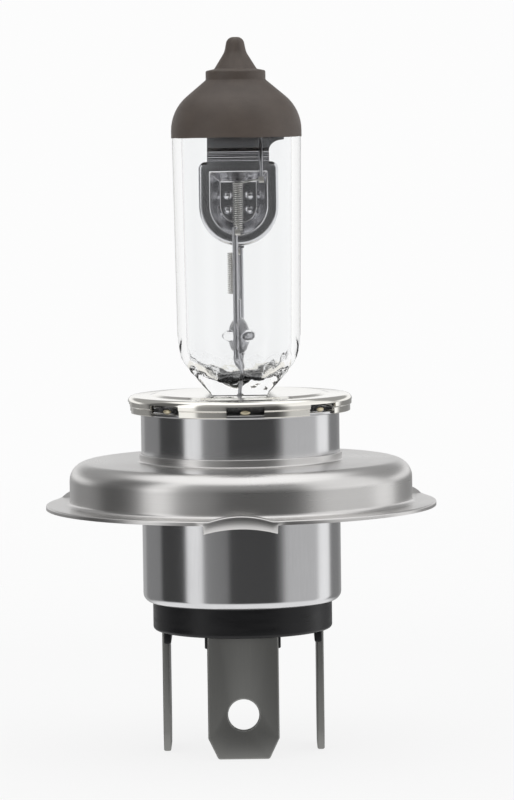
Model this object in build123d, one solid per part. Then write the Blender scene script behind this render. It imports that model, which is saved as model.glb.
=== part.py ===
from build123d import *
import os
from math import cos, radians, sin, sqrt, tan

# Twin-filament halogen headlight bulb on a three-lug prefocus base, in millimetres.
# The origin is the centre of the brim's upper face, the reference plane that seats in the lamp.
# +Z runs along the bulb's axis towards the glass. -Y is the front: the passing terminal stands
# there and the beam shield opens that way. The seal's three conductors lie in the YZ plane.

# Prefocus flange: a drawn cup with a flat brim, three raised lugs and a neck round the shell
FLANGE_SHEET = 0.45
CUP_RADIUS = 19.0
BRIM_WIDTH = 2.65
CUP_HEIGHT = 4.7
CUP_SHOULDER = 2.0
CUP_FOOT = 0.5
NECK_HEIGHT = 0.9
NECK_WALL = 0.2
NECK_BEND = 0.2
LUG_ANGLES = (-90, 30, 150)
LUG_HALF_WIDTH = 4.3
LUG_RISE = 0.6
LUG_OVERHANG = 0.2
LUG_STANDOFF = 0.9
LUG_LIP_DROP = 0.8
LUG_LIP_END_DROP = 1.5

# Base shell: a tube with a collar under the cap and a lip rolled in round the insulator
SHELL_RADIUS = 11.0
SHELL_WALL = 0.5
SHELL_TOP = 10.5
SHELL_BOTTOM = -10.9
SHELL_ROLL = 0.95
LIP_WIDTH = 1.0
COLLAR_WIDTH = 0.95
COLLAR_THICKNESS = 0.35
WELD_GAP = 0.02

# Cap disc: a crowned plate whose skirt is notched and crimped round the collar
CAP_SHEET = 0.35
CAP_RISE = 1.5
CAP_CROWN = 0.2
CAP_CROWN_INSET = 1.8
CAP_CROWN_SLOPE = 0.8
CAP_EDGE = 0.6
CAP_LEDGE = 0.15
CAP_LEDGE_HEIGHT = 0.85
CAP_SKIRT = 0.3
NOTCH_COUNT = 8
NOTCH_FIRST_ANGLE = -87
NOTCH_ARC = 19.0
WELD_TAB_WIDTH = 1.1
WELD_TAB_DEPTH = 0.6

# Quartz envelope: a tube closed by a dome with its exhaust tip above and by a flat pinch below
GLASS_RADIUS_TOP = 7.1
GLASS_TAPER = 0.3
GLASS_TAPER_RISE = 5.0
GLASS_WALL = 1.0
DOME_START = 41.15
DOME_ARC = 4.8
DOME_SLOPE = 40
DOME_RING_RADIUS = 3.2
DOME_RING_RISE = 6.45
DOME_RING_ROUND = 0.25
TIP_BASE_RADIUS = 2.25
TIP_BASE_RISE = 6.65
TIP_NECK_RADIUS = 1.1
TIP_NECK_RISE = 8.6
TIP_NECK_ROUND = 2.0
TIP_NOZZLE_RADIUS = 0.78
TIP_RISE = 10.15
CHAMBER_RISE = 4.05
CHAMBER_DOME_ARC = 3.4
WING_RISE = 3.6
WING_ROUND = 2.5
WING_BLEND = 2.5
PINCH_STANDOFF = 0.1
PINCH_BOTTOM = 1.5
PINCH_THICKNESS = 6.0
PINCH_WIDTH = 12.0
PINCH_EDGE = 0.9
PINCH_WEB = 3.4
PINCH_RIB = 2.3
FLOOR_RISE = 1.6
CHAMBER_FLOOR_HALF = 2.2
CHAMBER_FLOOR_RISE = 1.6

# Glare coating over the dome
COATING = 0.1
COATING_LAP = 0.75

# Lead wires, seal foils and the quartz bridge that spaces the wires
LEAD_RADIUS = 0.3
LEAD_STAGGER = 0.28
SEAL_PITCH = 3.4
FAN_START = 0.5
FAN_HEIGHT = 1.6
LEAD_BEND = 0.8
PASSING_LEAD_Y = -2.0
PASSING_LEAD_OVER = 0.55
DRIVING_LEAD_UNDER = 0.7
COMMON_LEAD_UNDER = 2.0
FOIL_WIDTH = 2.2
FOIL_THICKNESS = 0.05
FOIL_COVER_TOP = 1.1
FOIL_COVER_BOTTOM = 1.5
FOIL_LAP = 1.0
BRIDGE_RISE = 2.55
BRIDGE_CORE = (2.4, 4.1)
BRIDGE_WINGS = (4.8, 2.5)
BRIDGE_OVERHANG = 0.75

# Beam shield: a stamped dish behind the passing filament, hung from a stepped neck
SHIELD_SHEET = 0.25
SHIELD_FRONT = 0.3
SHIELD_DEPTH = 1.6
SHIELD_CENTRE = 0.15
SHIELD_CLEARANCE = 1.65
SHIELD_BOTTOM = 28.4
SHIELD_LENGTH = 9.3
SHIELD_SHOULDER = 0.8
SHIELD_EDGE = 0.45
SHIELD_LIP = 1.25
SHIELD_END_LIP = 1.1
SHIELD_WALL_SLOPE = 36
DIMPLE_RADIUS = 0.5
DIMPLE_DEPTH = 0.25
DIMPLE_HALF_X = 1.2
DIMPLE_RISES = (4.0, 5.6)
NECK_INSET = 1.0
NECK_STEP = 0.9
NECK_STEP_START = 0.1
NECK_STEP_RISE = 1.0
NECK_HEADROOM = 2.2
NECK_FOLD = 0.5
ARM_CLEARANCE = 0.9
ARM_WIDTH = 1.1
ARM_DROP = 1.8
ARM_ROUND = 1.2
TONGUE_WIDTH = 0.8
TONGUE_DROP = 0.25

# Filaments: coiled wire, the coil's own size, its place and its number of turns
FILAMENT_WIRE = 0.1
PASSING_COIL_RADIUS = 0.5
PASSING_COIL_RISE = 1.6
PASSING_COIL_LENGTH = 5.3
PASSING_COIL_TURNS = 15.75
PASSING_COIL_X = 0.07
DRIVING_COIL_RADIUS = 0.45
DRIVING_COIL_BOTTOM = 23.2
DRIVING_COIL_LENGTH = 4.5
DRIVING_COIL_TURNS = 14.75
DRIVING_COIL_X = -0.67
RETURN_WIRE_RADIUS = 0.18
RETURN_WIRE_INSET = 1.75
RETURN_WIRE_OVER = 0.1
RETURN_WIRE_UNDER = 0.4
RETURN_WIRE_GAP = 0.1
TAIL_RUN = 0.3
TAIL_BEND = 0.12
LEG_TAIL = 0.6
CLAMP = (0.62, 0.8, 0.7)
CLAMP_OFFSET = 0.13

# Pinch clamp: a strap round the pinch with two ears welded under the cap
CLAMP_SHEET = 0.5
CLAMP_DEPTH = 4.0
CLAMP_FIT = 0.05
EAR_LENGTH = 2.0

# Insulator and the three blade terminals
INSULATOR_DROP = 3.15
INSULATOR_TOP = -4.2
INSULATOR_FIT = 0.05
INSULATOR_CHAMFER = 0.4
BLADE_WIDTH = 7.8
BLADE_THICKNESS = 0.8
BLADE_TIP = -27.4
BLADE_TIP_CUT = (1.1, 2.3)
BLADE_EDGE = 0.3
BLADE_SHOULDER_DEPTH = 1.8
BLADE_HOLE_RADIUS = 1.7
BLADE_HOLE_HEIGHT = 4.9
BLADE_FIT = 0.05
FRONT_BLADE_INSET = 0.04
SIDE_BLADE_INSET = 0.14
TAG_WIDTH = 3.0
TAG_RISE = 1.2
OUTER_LEAD_RADIUS = 0.4
OUTER_LEAD_LEVEL = -2.0
OUTER_LEAD_BEND = 1.2
BOSS_MARGIN = 0.25
BOSS_HEIGHT = 1.2
BOSS_SETBACK = 0.2
BOSS_DEPTH = 0.8

# Sizes that follow from the ones above
BRIM_RADIUS = CUP_RADIUS + BRIM_WIDTH
LUG_INNER_RADIUS = CUP_RADIUS + CUP_FOOT + LUG_STANDOFF
CAP_TOP = SHELL_TOP + CAP_RISE
CAP_UNDERSIDE = CAP_TOP - CAP_SHEET
CAP_CROWN_RADIUS = SHELL_RADIUS - CAP_CROWN_INSET
COLLAR_RADIUS = SHELL_RADIUS + COLLAR_WIDTH
CAP_RADIUS = COLLAR_RADIUS + WELD_GAP + CAP_SKIRT + CAP_LEDGE
GLASS_RADIUS_LOW = GLASS_RADIUS_TOP - GLASS_TAPER
BORE_RADIUS = GLASS_RADIUS_TOP - GLASS_WALL
PINCH_TOP = CAP_TOP + CAP_CROWN + PINCH_STANDOFF
WING_CORNER = PINCH_TOP + WING_RISE
TAPER_FOOT = PINCH_TOP + GLASS_TAPER_RISE
COATING_EDGE = DOME_START - COATING_LAP
TIP_TOP = DOME_START + TIP_RISE
CHAMBER_TOP = DOME_START + CHAMBER_RISE
CHAMBER_FLOOR = PINCH_TOP + FLOOR_RISE
FOIL_TOP = PINCH_TOP - FOIL_COVER_TOP
FOIL_BOTTOM = PINCH_BOTTOM + FOIL_COVER_BOTTOM
LEAD_END = FOIL_TOP - FOIL_LAP
FAN_BOTTOM = CHAMBER_FLOOR + FAN_START
FAN_TOP = FAN_BOTTOM + FAN_HEIGHT
BRIDGE_HEIGHT = FAN_TOP + BRIDGE_RISE
SHIELD_HALF_WIDTH = BORE_RADIUS - SHIELD_CLEARANCE
SHIELD_TOP = SHIELD_BOTTOM + SHIELD_LENGTH
SHIELD_BACK = SHIELD_FRONT + SHIELD_DEPTH + SHIELD_SHEET
NECK_HALF_WIDTH = SHIELD_HALF_WIDTH - NECK_INSET
NECK_STEP_BOTTOM = SHIELD_TOP + NECK_STEP_START
NECK_STEP_TOP = SHIELD_TOP + NECK_STEP_RISE
NECK_TOP = CHAMBER_TOP - NECK_HEADROOM
ARM_REACH = BORE_RADIUS - ARM_CLEARANCE
ARM_TOP = NECK_TOP - ARM_DROP
ARM_BOTTOM = ARM_TOP - ARM_WIDTH
PASSING_COIL_BOTTOM = SHIELD_BOTTOM + PASSING_COIL_RISE
PASSING_COIL_TOP = PASSING_COIL_BOTTOM + PASSING_COIL_LENGTH
DRIVING_COIL_TOP = DRIVING_COIL_BOTTOM + DRIVING_COIL_LENGTH
PASSING_LEAD_TOP = PASSING_COIL_BOTTOM + PASSING_LEAD_OVER
DRIVING_LEAD_TOP = DRIVING_COIL_BOTTOM - DRIVING_LEAD_UNDER
COMMON_LEAD_TOP = SHIELD_TOP - COMMON_LEAD_UNDER
COMMON_LEAD_Y = SHIELD_BACK + LEAD_RADIUS + WELD_GAP
RETURN_WIRE_X = SHIELD_HALF_WIDTH - RETURN_WIRE_INSET
RETURN_WIRE_Y = SHIELD_FRONT - RETURN_WIRE_RADIUS - RETURN_WIRE_GAP
RETURN_WIRE_BOTTOM = PASSING_COIL_TOP + RETURN_WIRE_OVER
RETURN_WIRE_TOP = NECK_TOP - RETURN_WIRE_UNDER
TAIL_LAP = LEAD_RADIUS + FILAMENT_WIRE + WELD_GAP
INSULATOR_RADIUS = SHELL_RADIUS - LIP_WIDTH - INSULATOR_FIT
INSULATOR_BOTTOM = SHELL_BOTTOM - INSULATOR_DROP
BOSS_WIDTH = BLADE_WIDTH + 2 * BOSS_MARGIN
BLADE_CHORD = sqrt(INSULATOR_RADIUS**2 - (BOSS_WIDTH / 2) ** 2) - BLADE_THICKNESS / 2
FRONT_BLADE_PLANE = BLADE_CHORD - FRONT_BLADE_INSET
SIDE_BLADE_PLANE = BLADE_CHORD - SIDE_BLADE_INSET
BLADE_SHOULDER = INSULATOR_TOP - BLADE_SHOULDER_DEPTH
TAG_TOP = OUTER_LEAD_LEVEL + TAG_RISE
FOIL_OFFSET = LEAD_RADIUS + FOIL_THICKNESS / 2
OUTER_LEAD_X = LEAD_RADIUS - OUTER_LEAD_RADIUS


def turned(corners):
    """Revolves a closed outline of (radius, height, corner rounding) about the bulb's axis."""
    points = [(r, 0, z) for r, z, _ in corners]
    rounding = [fillet_radius for _, _, fillet_radius in corners]
    return revolve(make_face(FilletPolyline(*points, radius=rounding, close=True)), Axis.Z)


def plate(corners, thickness):
    """Extrudes a closed outline of (x, z, corner rounding) back along +Y from y = 0."""
    points = [(x, 0, z) for x, z, _ in corners]
    rounding = [fillet_radius for _, _, fillet_radius in corners]
    face = make_face(FilletPolyline(*points, radius=rounding, close=True))
    return extrude(face, amount=thickness, dir=(0, 1, 0))


def ring(outer, inner, bottom, top):
    """A plain ring about the bulb's axis."""
    height = top - bottom
    return Pos(0, 0, bottom + height / 2) * (Cylinder(outer, height) - Cylinder(inner, height))


def block(x, y, z):
    """A box given by its low and high limits on each axis."""
    centre = Pos((x[0] + x[1]) / 2, (y[0] + y[1]) / 2, (z[0] + z[1]) / 2)
    return centre * Box(x[1] - x[0], y[1] - y[0], z[1] - z[0])


def bent_wire(points, radius, bend):
    """A round wire along straight runs joined by tangent bends."""
    path = FilletPolyline(*points, radius=bend)
    return sweep(Plane(origin=path @ 0, z_dir=path % 0) * Circle(radius), path=path)


def straight_wire(start, end, radius):
    """A round wire along one straight run."""
    path = Line(start, end)
    return sweep(Plane(origin=start, z_dir=path % 0) * Circle(radius), path=path)


def lug():
    """One raised lug at the front of the brim: roof, inner wall and the lip turned down outside."""
    outer = BRIM_RADIUS + LUG_OVERHANG
    ends = -FLANGE_SHEET
    roof_line = ThreePointArc((-LUG_HALF_WIDTH, 0, ends), (0, 0, LUG_RISE), (LUG_HALF_WIDTH, 0, ends))
    lip_line = ThreePointArc(
        (-LUG_HALF_WIDTH, 0, -LUG_LIP_END_DROP),
        (0, 0, -LUG_LIP_DROP),
        (LUG_HALF_WIDTH, 0, -LUG_LIP_END_DROP),
    )
    roof_base = Line(roof_line @ 0, roof_line @ 1)
    mass = extrude(make_face([roof_line, roof_base]), amount=BRIM_RADIUS + 1, dir=(0, -1, 0))
    sides = [Line(roof_line @ 0, lip_line @ 0), Line(roof_line @ 1, lip_line @ 1)]
    lip_face = make_face([roof_line, lip_line, *sides])
    lip = extrude(lip_face, amount=BRIM_RADIUS + 1, dir=(0, -1, 0))
    span = LUG_RISE + LUG_LIP_END_DROP + 1
    bump = mass & ring(outer, LUG_INNER_RADIUS, -span, span)
    hollow = Pos(0, 0, -FLANGE_SHEET) * mass
    hollow += block(
        (-LUG_HALF_WIDTH + FLANGE_SHEET, LUG_HALF_WIDTH - FLANGE_SHEET),
        (-BRIM_RADIUS - 1, 0),
        (-span, ends),
    )
    hollow &= ring(outer - FLANGE_SHEET, LUG_INNER_RADIUS + FLANGE_SHEET, -span, span)
    return bump, hollow, lip & ring(outer, outer - FLANGE_SHEET, -span, span)


def prefocus_flange():
    """The drawn cup, its brim with three lugs, and the neck that hugs the shell."""
    t = FLANGE_SHEET
    neck_in = SHELL_RADIUS + WELD_GAP
    neck_out = neck_in + NECK_WALL
    shape = turned(
        [
            (BRIM_RADIUS, 0, 0),
            (CUP_RADIUS, 0, CUP_FOOT),
            (CUP_RADIUS, CUP_HEIGHT, CUP_SHOULDER),
            (neck_out, CUP_HEIGHT, NECK_BEND),
            (neck_out, CUP_HEIGHT + NECK_HEIGHT, 0),
            (neck_in, CUP_HEIGHT + NECK_HEIGHT, 0),
            (neck_in, CUP_HEIGHT - t, NECK_BEND + t),
            (CUP_RADIUS - t, CUP_HEIGHT - t, CUP_SHOULDER - t),
            (CUP_RADIUS - t, -t, CUP_FOOT + t),
            (BRIM_RADIUS, -t, 0),
        ]
    )
    bump, hollow, lip = lug()
    for angle in LUG_ANGLES:
        turn = Rot(0, 0, angle + 90)
        shape = shape + turn * bump - turn * hollow + turn * lip
    return shape


def base_shell():
    """The tube with its collar at the top and its lip rolled in at the bottom."""
    inner = SHELL_RADIUS - SHELL_WALL
    lip = SHELL_RADIUS - LIP_WIDTH
    return turned(
        [
            (inner, SHELL_TOP, COLLAR_THICKNESS),
            (COLLAR_RADIUS, SHELL_TOP, 0),
            (COLLAR_RADIUS, SHELL_TOP - COLLAR_THICKNESS, 0),
            (SHELL_RADIUS, SHELL_TOP - COLLAR_THICKNESS, 0.2),
            (SHELL_RADIUS, SHELL_BOTTOM, SHELL_ROLL),
            (lip, SHELL_BOTTOM, 0),
            (lip, SHELL_BOTTOM + SHELL_WALL, 0),
            (inner, SHELL_BOTTOM + SHELL_WALL, SHELL_ROLL - SHELL_WALL),
        ]
    )


def cap_disc():
    """The crowned plate, its notched skirt round the collar and a weld tab in each notch."""
    ledge = CAP_TOP - CAP_EDGE - CAP_LEDGE_HEIGHT / 2
    skirt_out = CAP_RADIUS - CAP_LEDGE
    skirt_in = skirt_out - CAP_SKIRT
    crown_foot = CAP_CROWN_RADIUS + CAP_CROWN_SLOPE
    bottom = SHELL_TOP - COLLAR_THICKNESS
    shape = turned(
        [
            (0, CAP_TOP + CAP_CROWN, 0),
            (CAP_CROWN_RADIUS, CAP_TOP + CAP_CROWN, CAP_CROWN_SLOPE),
            (crown_foot, CAP_TOP, CAP_CROWN_SLOPE),
            (CAP_RADIUS, CAP_TOP, CAP_EDGE),
            (CAP_RADIUS, ledge, 0),
            (skirt_out, ledge - CAP_LEDGE, 0),
            (skirt_out, bottom, 0.12),
            (skirt_in, bottom, 0),
            (skirt_in, CAP_UNDERSIDE, 0),
            (0, CAP_UNDERSIDE, 0),
        ]
    )
    half_arc = radians(NOTCH_ARC / 2)
    notch_half = CAP_RADIUS * sin(half_arc)
    notch = block(
        (CAP_RADIUS * cos(half_arc) - 1, CAP_RADIUS + 1),
        (-notch_half, notch_half),
        (bottom - 1, CAP_TOP - CAP_EDGE),
    )
    tab = block(
        (skirt_in - WELD_TAB_DEPTH, skirt_in + WELD_GAP),
        (-WELD_TAB_WIDTH / 2, WELD_TAB_WIDTH / 2),
        (SHELL_TOP + WELD_GAP, CAP_UNDERSIDE + WELD_GAP),
    )
    for step in range(NOTCH_COUNT):
        turn = Rot(0, 0, NOTCH_FIRST_ANGLE + 360 * step / NOTCH_COUNT)
        shape = shape - turn * notch + turn * tab
    half_x = PINCH_THICKNESS / 2 + CLAMP_FIT
    half_y = PINCH_WIDTH / 2 + CLAMP_FIT
    opening = block((-half_x, half_x), (-half_y, half_y), (bottom, CAP_TOP + 1))
    return shape - opening


def pinch_clamp():
    """The strap that grips the pinch, with an ear turned out at each end under the cap."""
    top = CAP_UNDERSIDE - WELD_GAP
    half_x = PINCH_THICKNESS / 2 + CLAMP_FIT
    half_y = PINCH_WIDTH / 2 + CLAMP_FIT
    out_x = half_x + CLAMP_SHEET
    out_y = half_y + CLAMP_SHEET
    strap = block((-out_x, out_x), (-out_y, out_y), (top - CLAMP_DEPTH, top))
    ears = block((-half_x, half_x), (-out_y - EAR_LENGTH, out_y + EAR_LENGTH), (top - CLAMP_SHEET, top))
    return strap + ears - block((-half_x, half_x), (-half_y, half_y), (top - CLAMP_DEPTH - 1, top + 1))


def glass_skin(grow):
    """The envelope's outer surface of revolution down to the wings, grown outwards for the coating."""
    low = GLASS_RADIUS_LOW + grow
    wide = GLASS_RADIUS_TOP + grow
    dome_ring = DOME_RING_RADIUS + grow
    nozzle = TIP_NOZZLE_RADIUS + grow
    shoulder = DOME_START + (DOME_ARC + grow) * tan(radians(90 - DOME_SLOPE) / 2)
    ring_base = shoulder + (wide - dome_ring) * tan(radians(DOME_SLOPE))
    return turned(
        [
            (0, PINCH_TOP, 0),
            (low, PINCH_TOP, 0),
            (low, TAPER_FOOT, 0),
            (wide, COATING_EDGE - 1, 0),
            (wide, shoulder, DOME_ARC + grow),
            (dome_ring, ring_base, DOME_RING_ROUND),
            (dome_ring, DOME_START + DOME_RING_RISE + grow, DOME_RING_ROUND),
            (TIP_BASE_RADIUS + grow, DOME_START + TIP_BASE_RISE + grow, DOME_RING_ROUND),
            (TIP_NECK_RADIUS + grow, DOME_START + TIP_NECK_RISE, TIP_NECK_ROUND),
            (nozzle, TIP_TOP + grow, nozzle * 0.92),
            (0, TIP_TOP + grow, 0),
        ]
    )


def chamber():
    """The gas space: a domed cylinder whose floor slopes up towards both flat sides."""
    inner = GLASS_RADIUS_LOW - GLASS_WALL
    wide = BORE_RADIUS
    bore = turned(
        [
            (0, CHAMBER_FLOOR - 1, 0),
            (inner, CHAMBER_FLOOR - 1, 0),
            (inner, TAPER_FOOT, 0),
            (wide, COATING_EDGE - 1, 0),
            (wide, CHAMBER_TOP - 1, CHAMBER_DOME_ARC),
            (CHAMBER_DOME_ARC / 4, CHAMBER_TOP, CHAMBER_DOME_ARC),
            (0, CHAMBER_TOP, 0),
        ]
    )
    side = CHAMBER_FLOOR + CHAMBER_FLOOR_RISE
    reach = wide + 1
    profile = plate(
        [
            (-CHAMBER_FLOOR_HALF, CHAMBER_FLOOR, 0.6),
            (CHAMBER_FLOOR_HALF, CHAMBER_FLOOR, 0.6),
            (inner, side, 0.5),
            (reach, side + 2, 0),
            (reach, CHAMBER_TOP + 1, 0),
            (-reach, CHAMBER_TOP + 1, 0),
            (-reach, side + 2, 0),
            (-inner, side, 0.5),
        ],
        2 * reach,
    )
    return bore & (Pos(0, -reach, 0) * profile)


def pinch():
    """The flat seal below the wings: two ribs joined by a thinner web."""
    half_x = PINCH_THICKNESS / 2
    half_y = PINCH_WIDTH / 2
    slab = block((-half_x, half_x), (-half_y, half_y), (PINCH_BOTTOM, PINCH_TOP))
    slab = fillet(slab.edges().filter_by(Axis.Z), PINCH_EDGE)
    rib_inside = half_y - PINCH_RIB
    for side in (-1, 1):
        web_face = side * PINCH_WEB / 2
        beyond = side * (half_x + 1)
        x_limits = (min(web_face, beyond), max(web_face, beyond))
        slab -= block(x_limits, (-rib_inside, rib_inside), (PINCH_BOTTOM - 1, PINCH_TOP - 1))
    return slab


def glass_envelope(sealed_in):
    """The quartz envelope, pressed flat round the metal that is sealed into it."""
    half_x = PINCH_THICKNESS / 2
    half_y = PINCH_WIDTH / 2
    corner = GLASS_RADIUS_LOW
    reach = GLASS_RADIUS_TOP + 1
    top = TIP_TOP + 1
    front = plate(
        [
            (-half_x, PINCH_TOP, 0),
            (half_x, PINCH_TOP, 0),
            (corner, WING_CORNER, WING_ROUND),
            (corner, WING_CORNER + WING_BLEND, 0),
            (reach, WING_CORNER + 3, 0),
            (reach, top, 0),
            (-reach, top, 0),
            (-reach, WING_CORNER + 3, 0),
            (-corner, WING_CORNER + WING_BLEND, 0),
            (-corner, WING_CORNER, WING_ROUND),
        ],
        2 * reach,
    )
    side = plate(
        [
            (-half_y, PINCH_TOP, 0),
            (half_y, PINCH_TOP, 0),
            (reach, WING_CORNER + 1, 0),
            (reach, top, 0),
            (-reach, top, 0),
            (-reach, WING_CORNER + 1, 0),
        ],
        2 * reach,
    )
    body = glass_skin(0) & (Pos(0, -reach, 0) * front) & (Rot(0, 0, 90) * (Pos(0, -reach, 0) * side))
    body = body + pinch() - chamber()
    for metal in sealed_in:
        body -= metal
    return body


def glare_coating():
    """The opaque coat over the dome and its tip."""
    above = Pos(0, 0, COATING_EDGE + 10) * Cylinder(GLASS_RADIUS_TOP + 1, 20)
    return (glass_skin(COATING) - glass_skin(0)) & above


def inner_lead(seal_y, x, y, top):
    """A lead from the seal, fanned to its place above the pinch and straight up from there."""
    points = [(0, seal_y, LEAD_END), (0, seal_y, FAN_BOTTOM), (x, y, FAN_TOP), (x, y, top)]
    return bent_wire(points, LEAD_RADIUS, LEAD_BEND)


def seal_foil(seal_y):
    """A thin foil whose ends lap the inner and the outer lead."""
    half = FOIL_WIDTH / 2
    half_t = FOIL_THICKNESS / 2
    return block((-half_t, half_t), (seal_y - half, seal_y + half), (FOIL_BOTTOM, FOIL_TOP))


def lead_bridge(leads):
    """The pressed quartz bar that spaces the three leads, with a wing squeezed out each side."""
    front = PASSING_LEAD_Y - BRIDGE_OVERHANG
    back = COMMON_LEAD_Y + BRIDGE_OVERHANG
    core = Ellipse(BRIDGE_CORE[0] / 2, BRIDGE_CORE[1] / 2)
    wings = Ellipse(BRIDGE_WINGS[0] / 2, BRIDGE_WINGS[1] / 2)
    section = Plane(origin=(0, front, BRIDGE_HEIGHT), x_dir=(1, 0, 0), z_dir=(0, 1, 0)) * (core + wings)
    bar = extrude(section, amount=back - front)
    for lead in leads:
        bar -= lead
    return bar


def shield_outline(inset, taper_inset=0.0):
    """The dish's front outline, set in by the sheet or by the lip, as (x, z, rounding) corners."""
    half = SHIELD_HALF_WIDTH - inset
    bottom = SHIELD_BOTTOM + inset
    top = SHIELD_TOP - taper_inset
    corner = half * 0.999
    return [
        (SHIELD_CENTRE - half, bottom, corner),
        (SHIELD_CENTRE + half, bottom, corner),
        (SHIELD_CENTRE + half, top, max(SHIELD_SHOULDER - inset, 0.2)),
        (SHIELD_CENTRE - half, top, max(SHIELD_SHOULDER - inset, 0.2)),
    ]


def pocket(grow, depth):
    """The tapered recess of the dish, from the lip's inner edge to its floor."""
    inset = SHIELD_LIP - grow
    points = [(x, 0, z) for x, z, _ in shield_outline(inset, SHIELD_END_LIP - grow)]
    rounding = [fillet_radius for _, _, fillet_radius in shield_outline(inset, SHIELD_END_LIP - grow)]
    face = make_face(FilletPolyline(*points, radius=rounding, close=True))
    return Pos(0, SHIELD_FRONT, 0) * extrude(face, amount=depth, dir=(0, 1, 0), taper=SHIELD_WALL_SLOPE)


def beam_shield():
    """The stamped dish, its dimpled floor, stepped neck with an arm, and the tongue on the lead."""
    t = SHIELD_SHEET
    depth = SHIELD_DEPTH + t
    blank = plate(shield_outline(0), depth)
    blank = fillet(blank.edges().group_by(Axis.Y)[0], SHIELD_EDGE)
    inside = Pos(0, t, 0) * plate(shield_outline(t, t), depth)
    blank = Pos(0, SHIELD_FRONT, 0) * blank
    inside = Pos(0, SHIELD_FRONT, 0) * inside
    recess = pocket(0, SHIELD_DEPTH)
    shape = blank - recess - (inside - pocket(t, depth))
    floor = SHIELD_FRONT + SHIELD_DEPTH
    for rise in DIMPLE_RISES:
        for side in (-1, 1):
            place = Pos(SHIELD_CENTRE + side * DIMPLE_HALF_X, floor - DIMPLE_DEPTH / 2, SHIELD_BOTTOM + rise)
            shape += place * Rot(90, 0, 0) * Cone(DIMPLE_RADIUS, DIMPLE_RADIUS * 0.6, DIMPLE_DEPTH)
    return shape + shield_neck() + shield_tongue()


def shield_neck():
    """The strip above the dish: it steps back, runs up into the dome and carries the side arm."""
    t = SHIELD_SHEET
    front = SHIELD_FRONT
    back = SHIELD_FRONT + NECK_STEP
    overlap = SHIELD_TOP - SHIELD_SHOULDER
    points = [
        (0, front, overlap),
        (0, front, NECK_STEP_BOTTOM),
        (0, back, NECK_STEP_TOP),
        (0, back, NECK_TOP),
        (0, back + t, NECK_TOP),
        (0, back + t, NECK_STEP_TOP - t / 2),
        (0, front + t, NECK_STEP_BOTTOM - t / 2),
        (0, front + t, overlap),
    ]
    rounding = [0, NECK_FOLD, NECK_FOLD, 0, 0, NECK_FOLD, NECK_FOLD, 0]
    face = make_face(FilletPolyline(*points, radius=rounding, close=True))
    strip = extrude(face, amount=NECK_HALF_WIDTH, both=True, dir=(1, 0, 0))
    arm = plate(
        [
            (0, ARM_BOTTOM - 3 * ARM_ROUND, 0),
            (NECK_HALF_WIDTH, ARM_BOTTOM - 3 * ARM_ROUND, 0),
            (NECK_HALF_WIDTH, ARM_BOTTOM, ARM_ROUND),
            (ARM_REACH, ARM_BOTTOM, 0),
            (ARM_REACH, ARM_TOP, 0.3),
            (NECK_HALF_WIDTH, ARM_TOP, 0),
            (NECK_HALF_WIDTH, NECK_TOP, 0),
            (0, NECK_TOP, 0),
        ],
        t,
    )
    above_step = block((0, ARM_REACH + 1), (0, back + 2 * t), (NECK_STEP_TOP + NECK_FOLD, NECK_TOP + 1))
    return Pos(SHIELD_CENTRE, 0, 0) * (strip + ((Pos(0, back, 0) * arm) & above_step))


def shield_tongue():
    """The tab at the foot of the dish that is welded to the common lead."""
    half = TONGUE_WIDTH / 2
    y_limits = (SHIELD_BACK - SHIELD_SHEET, SHIELD_BACK)
    z_limits = (SHIELD_BOTTOM - TONGUE_DROP, SHIELD_BOTTOM + SHIELD_LIP)
    return block((LEAD_STAGGER - half, LEAD_STAGGER + half), y_limits, z_limits)


def coiled_wire(centre_x, coil_radius, bottom, length, turns, start_angle, tails):
    """A filament drawn as one wire: a tail in, the coil and a tail out, tangent where they meet."""
    helix = Helix(pitch=length / turns, height=length, radius=coil_radius)
    helix = Pos(centre_x, 0, bottom) * Rot(0, 0, start_angle) * helix
    first, last = tails
    lead_in = FilletPolyline(*first, helix @ 0 - (helix % 0) * TAIL_RUN, helix @ 0, radius=TAIL_BEND)
    lead_out = FilletPolyline(helix @ 1, helix @ 1 + (helix % 1) * TAIL_RUN, *last, radius=TAIL_BEND)
    path = Wire([*lead_in.edges(), *helix.edges(), *lead_out.edges()])
    return sweep(Plane(origin=path @ 0, z_dir=path % 0) * Circle(FILAMENT_WIRE), path=path, is_frenet=True)


def passing_filament():
    """The upper coil, its tail forward to the passing lead and its tail across to the return wire."""
    lap_x = TAIL_LAP - LEAD_STAGGER
    level = PASSING_COIL_BOTTOM
    first = [(lap_x, PASSING_LEAD_Y - LEG_TAIL / 2, level), (lap_x, PASSING_LEAD_Y + LEG_TAIL, level)]
    lap_y = RETURN_WIRE_Y - RETURN_WIRE_RADIUS - FILAMENT_WIRE - WELD_GAP
    rise = RETURN_WIRE_BOTTOM + LEG_TAIL / 2
    last = [(RETURN_WIRE_X - LEG_TAIL, lap_y, rise), (RETURN_WIRE_X + LEG_TAIL / 2, lap_y, rise)]
    size = (PASSING_COIL_RADIUS, PASSING_COIL_BOTTOM, PASSING_COIL_LENGTH, PASSING_COIL_TURNS)
    return coiled_wire(PASSING_COIL_X, *size, 0, (first, last))


def driving_filament():
    """The lower coil, its tail down behind the driving lead and its tail back to the common lead."""
    top = DRIVING_COIL_TOP
    first = [(0, TAIL_LAP, DRIVING_LEAD_TOP - LEG_TAIL), (0, TAIL_LAP, DRIVING_LEAD_TOP + TAIL_BEND)]
    lap_x = LEAD_STAGGER - TAIL_LAP
    last = [(lap_x, COMMON_LEAD_Y - LEG_TAIL, top), (lap_x, COMMON_LEAD_Y + LEG_TAIL / 2, top)]
    size = (DRIVING_COIL_RADIUS, DRIVING_COIL_BOTTOM, DRIVING_COIL_LENGTH, DRIVING_COIL_TURNS)
    return coiled_wire(DRIVING_COIL_X, *size, 90, (first, last))


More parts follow.
